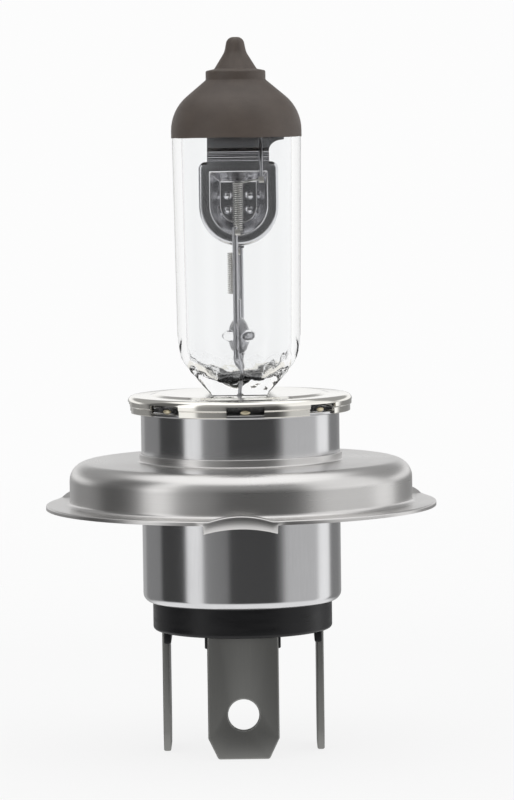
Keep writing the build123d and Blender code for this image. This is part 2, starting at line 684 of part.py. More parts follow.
def passing_return_wire():
    """The wire from the passing filament's upper tail up to its weld on the shield's neck."""
    low_y = RETURN_WIRE_Y
    high_y = SHIELD_FRONT + NECK_STEP - RETURN_WIRE_RADIUS - WELD_GAP
    points = [
        (RETURN_WIRE_X, low_y, RETURN_WIRE_BOTTOM),
        (RETURN_WIRE_X, low_y, SHIELD_TOP + 0.3),
        (RETURN_WIRE_X, high_y, NECK_STEP_TOP + 1),
        (RETURN_WIRE_X, high_y, RETURN_WIRE_TOP),
    ]
    return bent_wire(points, RETURN_WIRE_RADIUS, LEAD_BEND)


def filament_clamps(metal):
    """Four small folded clamps, one where each filament tail meets its lead."""
    inward = CLAMP_OFFSET
    folded = Box(*CLAMP)
    blanks = [
        Pos(TAIL_LAP - LEAD_STAGGER - inward, PASSING_LEAD_Y, PASSING_COIL_BOTTOM) * folded,
        Pos(0, TAIL_LAP - inward, DRIVING_LEAD_TOP - LEG_TAIL / 2) * Rot(0, 0, 90) * folded,
        Pos(LEAD_STAGGER - TAIL_LAP + inward, COMMON_LEAD_Y, DRIVING_COIL_TOP) * folded,
        Pos(RETURN_WIRE_X, RETURN_WIRE_Y - inward, RETURN_WIRE_BOTTOM + LEG_TAIL / 2) * folded,
    ]
    solids = []
    for shape in blanks:
        for piece in metal:
            shape -= piece
        solids.append(max(shape.solids(), key=lambda solid: solid.volume))
    return Compound(children=solids)


def outer_lead(seal_y, ends):
    """A lead from the lower end of a seal foil out to its terminal's tag."""
    top = (OUTER_LEAD_X, seal_y, FOIL_BOTTOM + FOIL_LAP)
    points = [top, (OUTER_LEAD_X, seal_y, OUTER_LEAD_LEVEL), *ends]
    return bent_wire(points, OUTER_LEAD_RADIUS, OUTER_LEAD_BEND)


def blade(grow):
    """A terminal in the front plane at y = 0, facing -Y, or its slot when grown by a fit."""
    half = BLADE_WIDTH / 2 + grow
    tag = TAG_WIDTH / 2 + grow
    cut_x, cut_z = BLADE_TIP_CUT
    corners = [
        (-half + cut_x, BLADE_TIP, 0),
        (half - cut_x, BLADE_TIP, 0),
        (half, BLADE_TIP + cut_z, 0),
        (half, BLADE_SHOULDER + grow, 0),
        (tag, BLADE_SHOULDER + grow, 0),
        (tag, TAG_TOP, 0),
        (-tag, TAG_TOP, 0),
        (-tag, BLADE_SHOULDER + grow, 0),
        (-half, BLADE_SHOULDER + grow, 0),
        (-half, BLADE_TIP + cut_z, 0),
    ]
    return Pos(0, -BLADE_THICKNESS / 2 - grow, 0) * plate(corners, BLADE_THICKNESS + 2 * grow)


def terminal():
    """A blade with its detent hole and a bevelled tip."""
    shape = blade(0)
    tip_edges = shape.edges().group_by(Axis.Z)[0].filter_by(Axis.X)
    shape = chamfer(tip_edges, BLADE_EDGE)
    hole = Pos(0, 0, BLADE_TIP + BLADE_HOLE_HEIGHT) * Rot(90, 0, 0) * Cylinder(BLADE_HOLE_RADIUS, 2)
    return shape - hole


def terminal_places():
    """Where the three blades stand: passing in front, common at -X and driving at +X."""
    front = Pos(0, -FRONT_BLADE_PLANE, 0)
    left = Rot(0, 0, -90) * Pos(0, -SIDE_BLADE_PLANE, 0)
    right = Rot(0, 0, 90) * Pos(0, -SIDE_BLADE_PLANE, 0)
    return {"passing": front, "common": left, "driving": right}


def insulator_base():
    """The moulded plug: a skirt below the shell's lip, a shoulder inside it and a boss at each blade."""
    shoulder = SHELL_RADIUS - SHELL_WALL - INSULATOR_FIT
    step = SHELL_BOTTOM + SHELL_WALL + SHELL_ROLL
    shape = turned(
        [
            (0, INSULATOR_BOTTOM, 0),
            (INSULATOR_RADIUS, INSULATOR_BOTTOM, INSULATOR_CHAMFER),
            (INSULATOR_RADIUS, step - 0.5, 0),
            (shoulder, step, 0),
            (shoulder, INSULATOR_TOP, 0.3),
            (0, INSULATOR_TOP, 0),
        ]
    )
    half = BOSS_WIDTH / 2
    front = -BLADE_THICKNESS / 2 + BOSS_SETBACK
    z_limits = (INSULATOR_BOTTOM - BOSS_HEIGHT, INSULATOR_BOTTOM + 1)
    boss = block((-half, half), (front, front + BOSS_DEPTH), z_limits)
    for place in terminal_places().values():
        shape += place * boss
    for place in terminal_places().values():
        shape -= place * blade(BLADE_FIT)
    return shape


def build():
    """Every node of the bulb by name."""
    leads = {
        "passing_lead_wire": inner_lead(-SEAL_PITCH, -LEAD_STAGGER, PASSING_LEAD_Y, PASSING_LEAD_TOP),
        "driving_lead_wire": straight_wire((0, 0, LEAD_END), (0, 0, DRIVING_LEAD_TOP), LEAD_RADIUS),
        "common_lead_wire": inner_lead(SEAL_PITCH, LEAD_STAGGER, COMMON_LEAD_Y, COMMON_LEAD_TOP),
    }
    side_tag = SIDE_BLADE_PLANE - BLADE_THICKNESS / 2
    front_tag = FRONT_BLADE_PLANE - BLADE_THICKNESS / 2
    level = OUTER_LEAD_LEVEL
    common_ends = [(-side_tag / 2, TAG_WIDTH / 4, level), (-side_tag, TAG_WIDTH / 4, level)]
    outer_leads = {
        "passing_outer_lead": outer_lead(-SEAL_PITCH, [(OUTER_LEAD_X, -front_tag, level)]),
        "driving_outer_lead": outer_lead(0, [(side_tag, 0, level)]),
        "common_outer_lead": outer_lead(SEAL_PITCH, common_ends),
    }
    foils = {
        "passing_seal_foil": Pos(FOIL_OFFSET, 0, 0) * seal_foil(-SEAL_PITCH),
        "driving_seal_foil": Pos(FOIL_OFFSET, 0, 0) * seal_foil(0),
        "common_seal_foil": Pos(FOIL_OFFSET, 0, 0) * seal_foil(SEAL_PITCH),
    }
    terminals = {f"{name}_terminal": place * terminal() for name, place in terminal_places().items()}
    filaments = {"passing_filament": passing_filament(), "driving_filament": driving_filament()}
    return_wire = passing_return_wire()
    metal = [*leads.values(), *filaments.values(), return_wire]
    return {
        "glass_envelope": glass_envelope([*leads.values(), *outer_leads.values(), *foils.values()]),
        "glare_coating": glare_coating(),
        "beam_shield": beam_shield(),
        "passing_return_wire": return_wire,
        "filament_clamps": filament_clamps(metal),
        "lead_bridge": lead_bridge(leads.values()),
        "pinch_clamp": pinch_clamp(),
        "cap_disc": cap_disc(),
        "base_shell": base_shell(),
        "prefocus_flange": prefocus_flange(),
        "insulator_base": insulator_base(),
        **leads,
        **foils,
        **outer_leads,
        **filaments,
        **terminals,
    }


os.makedirs("parts", exist_ok=True)
for node, shape in build().items():
    export_step(shape, f"parts/{node}.step")
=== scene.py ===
"""Looks of a twin-filament headlight bulb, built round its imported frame.

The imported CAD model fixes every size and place. Each sub-assembly below is a class that keeps its
sizes in millimetres, builds its pieces with bmesh in the same frame and dresses them in a
procedural finish. Nothing on the bulb moves, so every piece rides on the one body, root.
"""

import logging
import math
from dataclasses import dataclass, field
from enum import Enum
from typing import Callable, Iterable, Sequence

import bmesh
import bpy
from mathutils import Matrix, Vector, noise


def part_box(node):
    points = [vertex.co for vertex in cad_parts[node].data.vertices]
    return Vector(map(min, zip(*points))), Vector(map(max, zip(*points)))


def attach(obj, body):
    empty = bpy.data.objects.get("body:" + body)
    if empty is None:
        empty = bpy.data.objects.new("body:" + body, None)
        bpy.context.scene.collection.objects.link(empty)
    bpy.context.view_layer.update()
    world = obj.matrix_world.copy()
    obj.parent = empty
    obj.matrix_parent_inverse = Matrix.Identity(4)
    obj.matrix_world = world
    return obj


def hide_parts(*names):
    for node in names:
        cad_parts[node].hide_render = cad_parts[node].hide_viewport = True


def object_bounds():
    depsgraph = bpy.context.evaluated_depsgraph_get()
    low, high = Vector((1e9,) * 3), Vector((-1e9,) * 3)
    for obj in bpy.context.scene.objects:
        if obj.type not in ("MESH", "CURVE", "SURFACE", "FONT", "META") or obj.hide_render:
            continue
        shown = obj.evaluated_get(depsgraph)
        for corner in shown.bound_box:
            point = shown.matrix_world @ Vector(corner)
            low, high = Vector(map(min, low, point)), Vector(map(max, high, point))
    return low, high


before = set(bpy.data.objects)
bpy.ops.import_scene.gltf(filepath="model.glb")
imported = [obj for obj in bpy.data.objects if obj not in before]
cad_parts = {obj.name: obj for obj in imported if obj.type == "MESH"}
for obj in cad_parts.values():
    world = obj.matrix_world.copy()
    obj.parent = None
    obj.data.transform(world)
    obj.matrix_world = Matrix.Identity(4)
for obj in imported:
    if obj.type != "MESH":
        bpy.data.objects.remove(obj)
CAD_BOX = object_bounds()

MM = 0.001
BODY = "root"
LOG = logging.getLogger("headlight_bulb")

BMesh = bmesh.types.BMesh
BMVert = bmesh.types.BMVert
BMEdge = bmesh.types.BMEdge
Material = bpy.types.Material
Socket = bpy.types.NodeSocket
Pair = tuple[float, float]
Corner = tuple[float, float, float]
Colour = tuple[float, float, float]
Outline = list[Pair]
Panels = tuple[Pair, ...]
Feed = Socket | float | Sequence[float]

# The span that a noise's value mostly keeps within.
NOISE_SPAN = (0.3, 0.7)
# Where a colour mix keeps its share and two colours, and its result.
MIX_INPUTS, MIX_OUTPUT = (0, 6, 7), 2


class Slot(Enum):
    """Material slot names."""

    QUARTZ = "quartz"
    GLARE_COAT = "glare_coat"
    TUNGSTEN = "tungsten"
    MOLYBDENUM = "molybdenum"
    BRIGHT_NICKEL = "bright_nickel"
    SATIN_STEEL = "satin_steel"
    INSULATOR = "insulator_plastic"
    TERMINAL = "terminal_metal"


class Grain(Enum):
    """Which way a worked metal's fine lines run, as noise cells per millimetre on each axis."""

    DRAWN = (9.0, 9.0, 0.22)
    TURNED = (11.0, 0.35, 11.0)
    ROLLED = (0.5, 6.0, 7.0)
    PLAIN = (5.0, 5.0, 5.0)


# Finishes


class NodeBench:
    """A node tree, with short calls that take and give sockets."""

    def __init__(self, tree: bpy.types.NodeTree) -> None:
        """Empties a material's or a world's node tree to build on it.

        Args:
            tree: The node tree.
        """
        self.tree = tree
        tree.nodes.clear()

    def add(self, kind: str, *values: Feed, **settings: object) -> bpy.types.Node:
        """Adds a node.

        Args:
            kind: The node's type name, after its ShaderNode.
            *values: What its inputs are fed, in order.
            **settings: Properties to set.

        Returns:
            The node.
        """
        node = self.tree.nodes.new("ShaderNode" + kind)
        for key, value in settings.items():
            setattr(node, key, value)
        for into, value in zip(node.inputs, values):
            self.feed(into, value)
        return node

    def feed(self, into: Socket, value: Feed) -> None:
        """Links a socket to an input, or sets the input to a plain value.

        Args:
            into: The input.
            value: The socket or the plain value.
        """
        if isinstance(value, Socket):
            self.tree.links.new(value, into)
        else:
            into.default_value = value

    def calc(self, operation: str, *values: Feed, **settings: object) -> Socket:
        """The result of a Math node, its inputs fed in order."""
        return self.add("Math", *values, operation=operation, **settings).outputs[0]

    def ranged(self, source: Socket, span: Pair, to: Pair = (0.0, 1.0), **settings: str) -> Socket:
        """Maps a value's span on to another span."""
        return self.add("MapRange", source, *span, *to, **settings).outputs[0]

    def mix(self, share: Feed, low: Feed, high: Feed) -> Socket:
        """Runs between two colours by a share from 0 to 1.

        Args:
            share: The share.
            low: The colour at 0.
            high: The colour at 1.

        Returns:
            The colour.
        """
        node = self.add("Mix", data_type="RGBA")
        for index, value in zip(MIX_INPUTS, (share, low, high)):
            self.feed(node.inputs[index], value)
        return node.outputs[MIX_OUTPUT]

    def where(self, kind: str = "Object") -> Socket:
        """The place that is shaded."""
        return self.add("TexCoord").outputs[kind]

    def parts(self, vector: Socket) -> tuple[Socket, ...]:
        """Splits a vector into x, y and z."""
        return tuple(self.add("SeparateXYZ", vector).outputs)

    def vector(self, *parts: Socket) -> Socket:
        """Puts a vector together from x, y and z, as far as they aren't 0."""
        return self.add("CombineXYZ", *parts).outputs[0]

    def length(self, vector: Socket) -> Socket:
        """The length of a vector."""
        return self.add("VectorMath", vector, operation="LENGTH").outputs["Value"]

    def scaled(self, vector: Socket, scale: Sequence[float]) -> Socket:
        """A vector times a scale on each axis."""
        unmoved = (0.0, 0.0, 0.0)
        return self.add("Mapping", vector, unmoved, unmoved, scale).outputs[0]

    def place(self, cells: Sequence[float]) -> Socket:
        """Object coordinates counted in noise cells, so many per millimetre on each axis."""
        return self.scaled(self.where(), [c / MM for c in cells])

    def round_place(self, cells: Sequence[float]) -> Socket:
        """Coordinates that follow a turned piece: radius, angle and height, in noise cells.

        Args:
            cells: Cells per millimetre along the radius, per radian and along the height.

        Returns:
            The coordinates.
        """
        x, y, z = self.parts(self.where())
        whole = self.vector(self.length(self.vector(x, y)), self.calc("ARCTAN2", y, x), z)
        return self.scaled(whole, (cells[0] / MM, cells[1], cells[2] / MM))

    def noise(self, where: Socket, detail: float = 3.0, rough: float = 0.55) -> Socket:
        """A noise on the given coordinates.

        Args:
            where: The coordinates, in noise cells.
            detail: Octaves.
            rough: How much the finer octaves weigh.

        Returns:
            The noise's value.
        """
        node = self.add("TexNoise")
        keys = ("Vector", "Scale", "Detail", "Roughness")
        for key, value in zip(keys, (where, 1.0, detail, rough)):
            self.feed(node.inputs[key], value)
        return node.outputs["Fac"]


class Finish(NodeBench):
    """A material's node tree round one Principled shader."""

    def __init__(self, name: str) -> None:
        """Starts a material of the given name.

        Args:
            name: The material's name.
        """
        self.material = bpy.data.materials.new(name)
        self.material.use_nodes = True
        super().__init__(self.material.node_tree)
        self.shader = self.add("BsdfPrincipled")
        self.surface = self.add("OutputMaterial").inputs["Surface"]
        self.feed(self.surface, self.shader.outputs["BSDF"])

    def set(self, **values: Feed) -> None:
        """Feeds sockets of the shader by name, with underscores for spaces."""
        for key, value in values.items():
            self.feed(self.shader.inputs[key.replace("_", " ")], value)

    def tint(self, share: Socket, dark: Colour, light: Colour) -> None:
        """Runs the base colour between two colours."""
        self.set(Base_Color=self.mix(share, (*dark, 1.0), (*light, 1.0)))

    def relief(self, height: Socket, depth: float, onto: Socket | None = None) -> Socket:
        """Adds a bump to the shader's normal.

        Args:
            height: The height, from 0 to 1.
            depth: The height of the relief in millimetres.
            onto: The normal of a bump that this one is laid over.

        Returns:
            The bump's normal.
        """
        bump = self.add("Bump")
        self.feed(bump.inputs["Strength"], 1.0)
        self.feed(bump.inputs["Distance"], depth * MM)
        self.feed(bump.inputs["Height"], height)
        if onto is not None:
            self.feed(bump.inputs["Normal"], onto)
        self.set(Normal=bump.outputs["Normal"])
        return bump.outputs["Normal"]


@dataclass(frozen=True)
class Metal:
    """A worked or plated metal: two tints that mottle it, its gloss, its grain and its wear."""

    name: str
    light: Colour
    dark: Colour
    gloss: Pair
    grain: Grain = Grain.PLAIN
    grain_depth: float = 0.0006
    grain_share: float = 0.45
    mottle: float = 0.22
    mottle_cells: float = 0.16
    tone: float = 0.28
    dent_depth: float = 0.0
    dent_cells: float = 0.22

    def material(self) -> Material:
        """Builds the metal's node tree."""
        bench = Finish(self.name)
        laid = bench.round_place if self.grain is Grain.TURNED else bench.place
        lines = bench.noise(laid(self.grain.value), 4.0, 0.6)
        cloud = bench.noise(bench.place((self.mottle_cells,) * 3), 4.0, 0.6)
        swing = (self.tone - self.mottle / 2, self.tone + self.mottle / 2)
        soft = bench.ranged(cloud, NOISE_SPAN, swing)
        blend = bench.calc("MULTIPLY_ADD", lines, self.grain_share, soft)
        bench.tint(blend, self.dark, self.light)
        bench.set(Metallic=1.0, Roughness=bench.ranged(blend, (0.1, 0.9), self.gloss[::-1]))
        under = None
        if self.dent_depth:
            dents = bench.noise(bench.place((self.dent_cells,) * 3), 1.0, 0.4)
            under = bench.relief(dents, self.dent_depth)
        bench.relief(lines, self.grain_depth, under)
        return bench.material


@dataclass(frozen=True)
class Quartz:
    """Clear fused quartz with faint draw lines and a slight ripple where it was flame worked."""

    name: str = "clear_fused_quartz"
    ripple: float = 0.004
    worked_ripple: float = 0.10
    worked_below: float = 17.5
    bend: Pair = (1.2, 1.4)
    haze: Pair = (0.0, 0.035)
    clear: Colour = (1.0, 1.0, 1.0)
    # The grey of a painted shade at grazing angles (1.0 paints none), and the span of facing it
    # spreads over.
    edge: float = 1.0
    grazing_shade_span: Pair = (0.74, 0.97)
    draw_cells: Corner = (1.2, 1.2, 0.05)
    cloud_cells: Corner = (0.5, 0.5, 0.5)

    def material(self) -> Material:
        """Builds the glass, smoother on the drawn tube than on the pressed foot."""
        bench = Finish(self.name)
        bench.set(Base_Color=(*self.clear, 1.0), Transmission_Weight=1.0)
        # Painted shade: the base colour greys towards grazing angles, standing in for the dark line
        # that refraction draws along the wall.
        if self.edge < 1.0:
            facing = bench.add("LayerWeight").outputs["Facing"]
            bench.tint(bench.ranged(facing, self.grazing_shade_span), self.clear, (self.edge,) * 3)
        draw = bench.noise(bench.place(self.draw_cells), 2.0, 0.5)
        cloud = bench.noise(bench.place(self.cloud_cells))
        height = bench.parts(bench.where())[2]
        fade = ((self.worked_below - 3.0) * MM, (self.worked_below + 1.0) * MM)
        worked = bench.ranged(height, fade, (1.0, 0.0))
        drawn = bench.relief(draw, self.ripple)
        bench.relief(bench.calc("MULTIPLY", cloud, worked), self.worked_ripple, drawn)
        bench.set(IOR=bench.ranged(worked, (0.0, 1.0), self.bend))
        bench.set(Roughness=bench.ranged(worked, (0.0, 1.0), self.haze))
        return bench.material


@dataclass(frozen=True)
class Ceramic:
    """A sprayed heat-proof coat: matte and finely grained, with a cloudy tone."""

    name: str = "matte_glare_coat"
    light: Colour = (0.140, 0.112, 0.094)
    dark: Colour = (0.074, 0.058, 0.049)
    gloss: Pair = (0.44, 0.6)
    grain_depth: float = 0.02

    def material(self) -> Material:
        """Builds the coat's node tree."""
        bench = Finish(self.name)
        grit = bench.noise(bench.place((9.0,) * 3), 4.0, 0.65)
        cloud = bench.noise(bench.round_place((0.3, 1.4, 0.3)), 3.0, 0.6)
        soft = bench.ranged(cloud, NOISE_SPAN, (0.0, 0.5))
        bench.tint(bench.calc("MULTIPLY_ADD", grit, 0.5, soft), self.dark, self.light)
        bench.set(Specular_IOR_Level=0.5, Roughness=bench.ranged(grit, NOISE_SPAN, self.gloss))
        bench.relief(grit, self.grain_depth)
        return bench.material


@dataclass(frozen=True)
class Moulding:
    """Black moulded resin with a fine satin skin and flow marks."""

    name: str = "black_moulded_resin"
    light: Colour = (0.011, 0.011, 0.012)
    dark: Colour = (0.005, 0.005, 0.006)
    gloss: Pair = (0.26, 0.42)
    grain_depth: float = 0.006

    def material(self) -> Material:
        """Builds the resin's node tree."""
        bench = Finish(self.name)
        skin = bench.noise(bench.place((12.0,) * 3), 3.0, 0.6)
        flow = bench.noise(bench.round_place((0.5, 2.0, 1.6)), 3.0, 0.6)
        bench.tint(flow, self.dark, self.light)
        bench.set(Specular_IOR_Level=0.3, Roughness=bench.ranged(flow, NOISE_SPAN, self.gloss))
        bench.relief(skin, self.grain_depth)
        return bench.material


# Modelling


def span(node: str) -> tuple[Vector, Vector]:
    """The lowest and highest corner of a CAD node in millimetres."""
    low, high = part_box(node)
    return low / MM, high / MM


def verts_of(made: Iterable[object]) -> list[BMVert]:
    """The vertices among the pieces of a mesh."""
    return [g for g in made if isinstance(g, BMVert)]


def eased(corners: Sequence[Corner], steps: int, closed: bool = True) -> Outline:
    """Rounds the corners of an outline with true arcs.

    Args:
        corners: Corners as (across, along, rounding radius).
        steps: Straight steps in each arc.
        closed: Whether the last corner leads back to the first.

    Returns:
        The outline's points.
    """
    points: Outline = []
    count = len(corners)
    for i, (a, b, radius) in enumerate(corners):
        here = Vector((a, b))
        if radius <= 0 or (not closed and i in (0, count - 1)):
            points.append((a, b))
            continue
        back = (Vector(corners[i - 1][:2]) - here).normalized()
        ahead = (Vector(corners[(i + 1) % count][:2]) - here).normalized()
        half = back.angle(ahead) / 2
        centre = here + (back + ahead).normalized() * (radius / math.sin(half))
        start = here + back * (radius / math.tan(half)) - centre
        end = here + ahead * (radius / math.tan(half)) - centre
        turn = start.angle_signed(end)
        for step in range(steps + 1):
            arm = start.copy()
            arm.rotate(Matrix.Rotation(-turn * step / steps, 2))
            points.append(tuple(centre + arm))
    return points


def face_out(bm: BMesh) -> None:
    """Points every face outwards."""
    bmesh.ops.recalc_face_normals(bm, faces=bm.faces)


def spun(outline: Outline, steps: int, closed: bool = True) -> BMesh:
    """Spins an outline of (radius, height) a full turn about the bulb's axis.

    Args:
        outline: The points to spin.
        steps: Columns round the turn.
        closed: Whether the outline's ends are joined.

    Returns:
        The mesh, whose faces still have to be pointed outwards.
    """
    bm = bmesh.new()
    verts = [bm.verts.new((r, 0.0, z)) for r, z in outline]
    pairs = list(zip(verts, verts[1:])) + ([(verts[-1], verts[0])] if closed else [])
    edges = [bm.edges.new(pair) for pair in pairs]
    bmesh.ops.spin(
        bm, geom=verts + edges, cent=(0, 0, 0), axis=(0, 0, 1), dvec=(0, 0, 0), angle=math.tau,
        steps=steps, use_merge=True, use_normal_flip=False, use_duplicate=False,
    )
    bmesh.ops.remove_doubles(bm, verts=bm.verts, dist=1e-5)
    return bm


def sharp_edges(bm: BMesh, degrees: float) -> list[BMEdge]:
    """The edges that fold by more than the given angle."""
    limit = math.radians(degrees)
    return [e for e in bm.edges if len(e.link_faces) == 2 and e.calc_face_angle(0.0) > limit]


def bevelled(
    bm: BMesh, edges: list[BMEdge], width: float, segments: int = 3, clamp: bool = False
) -> None:
    """Bevels edges of a piece.

    Args:
        bm: The mesh.
        edges: The edges.
        width: The bevel's width in millimetres.
        segments: Steps across the bevel.
        clamp: Whether bevels stop short of each other.
    """
    bmesh.ops.bevel(
        bm, geom=edges, offset=width, offset_type="OFFSET", affect="EDGES", segments=segments,
        profile=0.5, material=-1, clamp_overlap=clamp,
    )


def block(bm: BMesh, size: Sequence[float], place: Sequence[float]) -> list[BMVert]:
    """Adds a box of the given size round a place.

    Args:
        bm: The mesh.
        size: The box's size on each axis.
        place: The box's middle.

    Returns:
        The box's vertices.
    """
    made = bmesh.ops.create_cube(bm, size=1.0)["verts"]
    bmesh.ops.scale(bm, vec=size, verts=made)
    bmesh.ops.translate(bm, vec=place, verts=made)
    return made


def bead(
    bm: BMesh, radius: float, squash: Corner, place: Corner, segments: tuple[int, int]
) -> list[BMVert]:
    """Adds a squashed ball.

    Args:
        bm: The mesh.
        radius: The ball's radius before it is squashed.
        squash: What each axis is scaled by.
        place: The ball's middle.
        segments: Its columns and rows.

    Returns:
        The ball's vertices.
    """
    columns, rows = segments
    made = bmesh.ops.create_uvsphere(bm, u_segments=columns, v_segments=rows, radius=radius)
    bmesh.ops.scale(bm, vec=squash, verts=made["verts"])
    bmesh.ops.translate(bm, vec=place, verts=made["verts"])
    return made["verts"]


def turned(bm: BMesh, verts: Iterable[BMVert], degrees: float, axis: str = "Z") -> None:
    """Turns vertices about an axis of the bulb's frame."""
    matrix = Matrix.Rotation(math.radians(degrees), 3, axis)
    bmesh.ops.rotate(bm, cent=(0, 0, 0), matrix=matrix, verts=verts)


def ring_of(verts: Sequence[BMVert], bm: BMesh) -> list[BMEdge]:
    """Joins vertices into a closed ring."""
    return [bm.edges.new(pair) for pair in zip(verts, [*verts[1:], verts[0]])]


def drawn_on(
    bm: BMesh,
    rim: Iterable[BMEdge],
    stages: Iterable[float],
    shape: Callable[[BMVert, float], Vector],
) -> list[BMEdge]:
    """Extrudes an open rim stage by stage and shapes each new ring.

    Args:
        bm: The mesh.
        rim: The edges of the open rim.
        stages: A value for each ring, handed to shape.
        shape: Gives a vertex's place on the ring.

    Returns:
        The edges of the last ring.
    """
    edges = list(rim)
    for stage in stages:
        made = bmesh.ops.extrude_edge_only(bm, edges=edges)["geom"]
        verts = set(verts_of(made))
        for vert in verts:
            vert.co = shape(vert, stage)
        edges = [g for g in made if isinstance(g, BMEdge) and set(g.verts) <= verts]
    return edges


def open_rim(bm: BMesh) -> list[BMEdge]:
    """The edges that border only one face."""
    return [e for e in bm.edges if len(e.link_faces) == 1]


def kept_turns(bm: BMesh) -> bmesh.types.BMLayerItem:
    """Notes each vertex's angle about the axis, for the rings that are drawn on from it.

    Args:
        bm: The mesh.

    Returns:
        The layer that holds the angles.
    """
    turn = bm.verts.layers.float.new("turn")
    for vert in bm.verts:
        vert[turn] = math.atan2(vert.co.y, vert.co.x)
    return turn


def linked(name: str, data: bpy.types.ID) -> bpy.types.Object:
    """Puts a mesh or a camera into the scene.

    Args:
        name: The object's name.
        data: The mesh or camera.

    Returns:
        The object.
    """
    thing = bpy.data.objects.new(name, data)
    bpy.context.scene.collection.objects.link(thing)
    return thing


def finished(
    shape: BMesh | bpy.types.Mesh,
    name: str,
    material: Material,
    nodes: Sequence[str],
    crease: float = 32.0,
) -> bpy.types.Object:
    """Turns a shape into a finished piece that stands for CAD nodes.

    Args:
        shape: A bmesh in millimetres, which is freed, or a mesh in metres.
        name: The piece's name.
        material: Its finish.
        nodes: The CAD nodes it stands for.
        crease: The fold in degrees from which an edge stays sharp.

    Returns:
        The piece.
    """
    mesh = shape
    if isinstance(shape, BMesh):
        bmesh.ops.scale(shape, vec=(MM, MM, MM), verts=shape.verts)
        mesh = bpy.data.meshes.new(name)
        shape.to_mesh(mesh)
        shape.free()
    mesh.polygons.foreach_set("use_smooth", [True] * len(mesh.polygons))
    mesh.set_sharp_from_angle(angle=math.radians(crease))
    mesh.materials.append(material)
    piece = linked(name, mesh)
    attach(piece, BODY)
    if nodes:
        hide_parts(*nodes)
    LOG.info("%s: %d faces", name, len(mesh.polygons))
    return piece


def wire_mesh(run: Sequence[Vector], radius: float, sides: int) -> bpy.types.Mesh:
    """A round wire along a line of points, with filled ends.

    Args:
        run: The wire's points in millimetres.
        radius: The wire's radius in millimetres.
        sides: The bevel resolution of the wire.

    Returns:
        A mesh in metres.
    """
    curve = bpy.data.curves.new("wire", "CURVE")
    curve.dimensions = "3D"
    curve.bevel_depth = radius * MM
    curve.bevel_resolution = sides
    curve.use_fill_caps = True
    spline = curve.splines.new("POLY")
    spline.points.add(len(run) - 1)
    for point, place in zip(spline.points, run):
        point.co = (*(Vector(place) * MM), 1.0)
    holder = bpy.data.objects.new("wire", curve)
    mesh = bpy.data.meshes.new_from_object(holder)
    bpy.data.objects.remove(holder)
    bpy.data.curves.remove(curve)
    return mesh


def bent(points: Sequence[Sequence[float]], radius: float, steps: int = 6) -> list[Vector]:
    """Rounds the bends of a line of points in space.

    Args:
        points: The line's corners.
        radius: The distance from each corner at which the bend begins, at most half the run.
        steps: Straight steps in each bend.

    Returns:
        The line's points.
    """
    places = [Vector(p) for p in points]
    line = [places[0]]
    for before, here, after in zip(places, places[1:], places[2:]):
        reach = min(radius, (before - here).length / 2, (after - here).length / 2)
        start = here + (before - here).normalized() * reach
        end = here + (after - here).normalized() * reach
        for step in range(steps + 1):
            t = step / steps
            line.append(start * (1 - t) ** 2 + here * 2 * t * (1 - t) + end * t * t)
    line.append(places[-1])
    return line


# Sub-assemblies


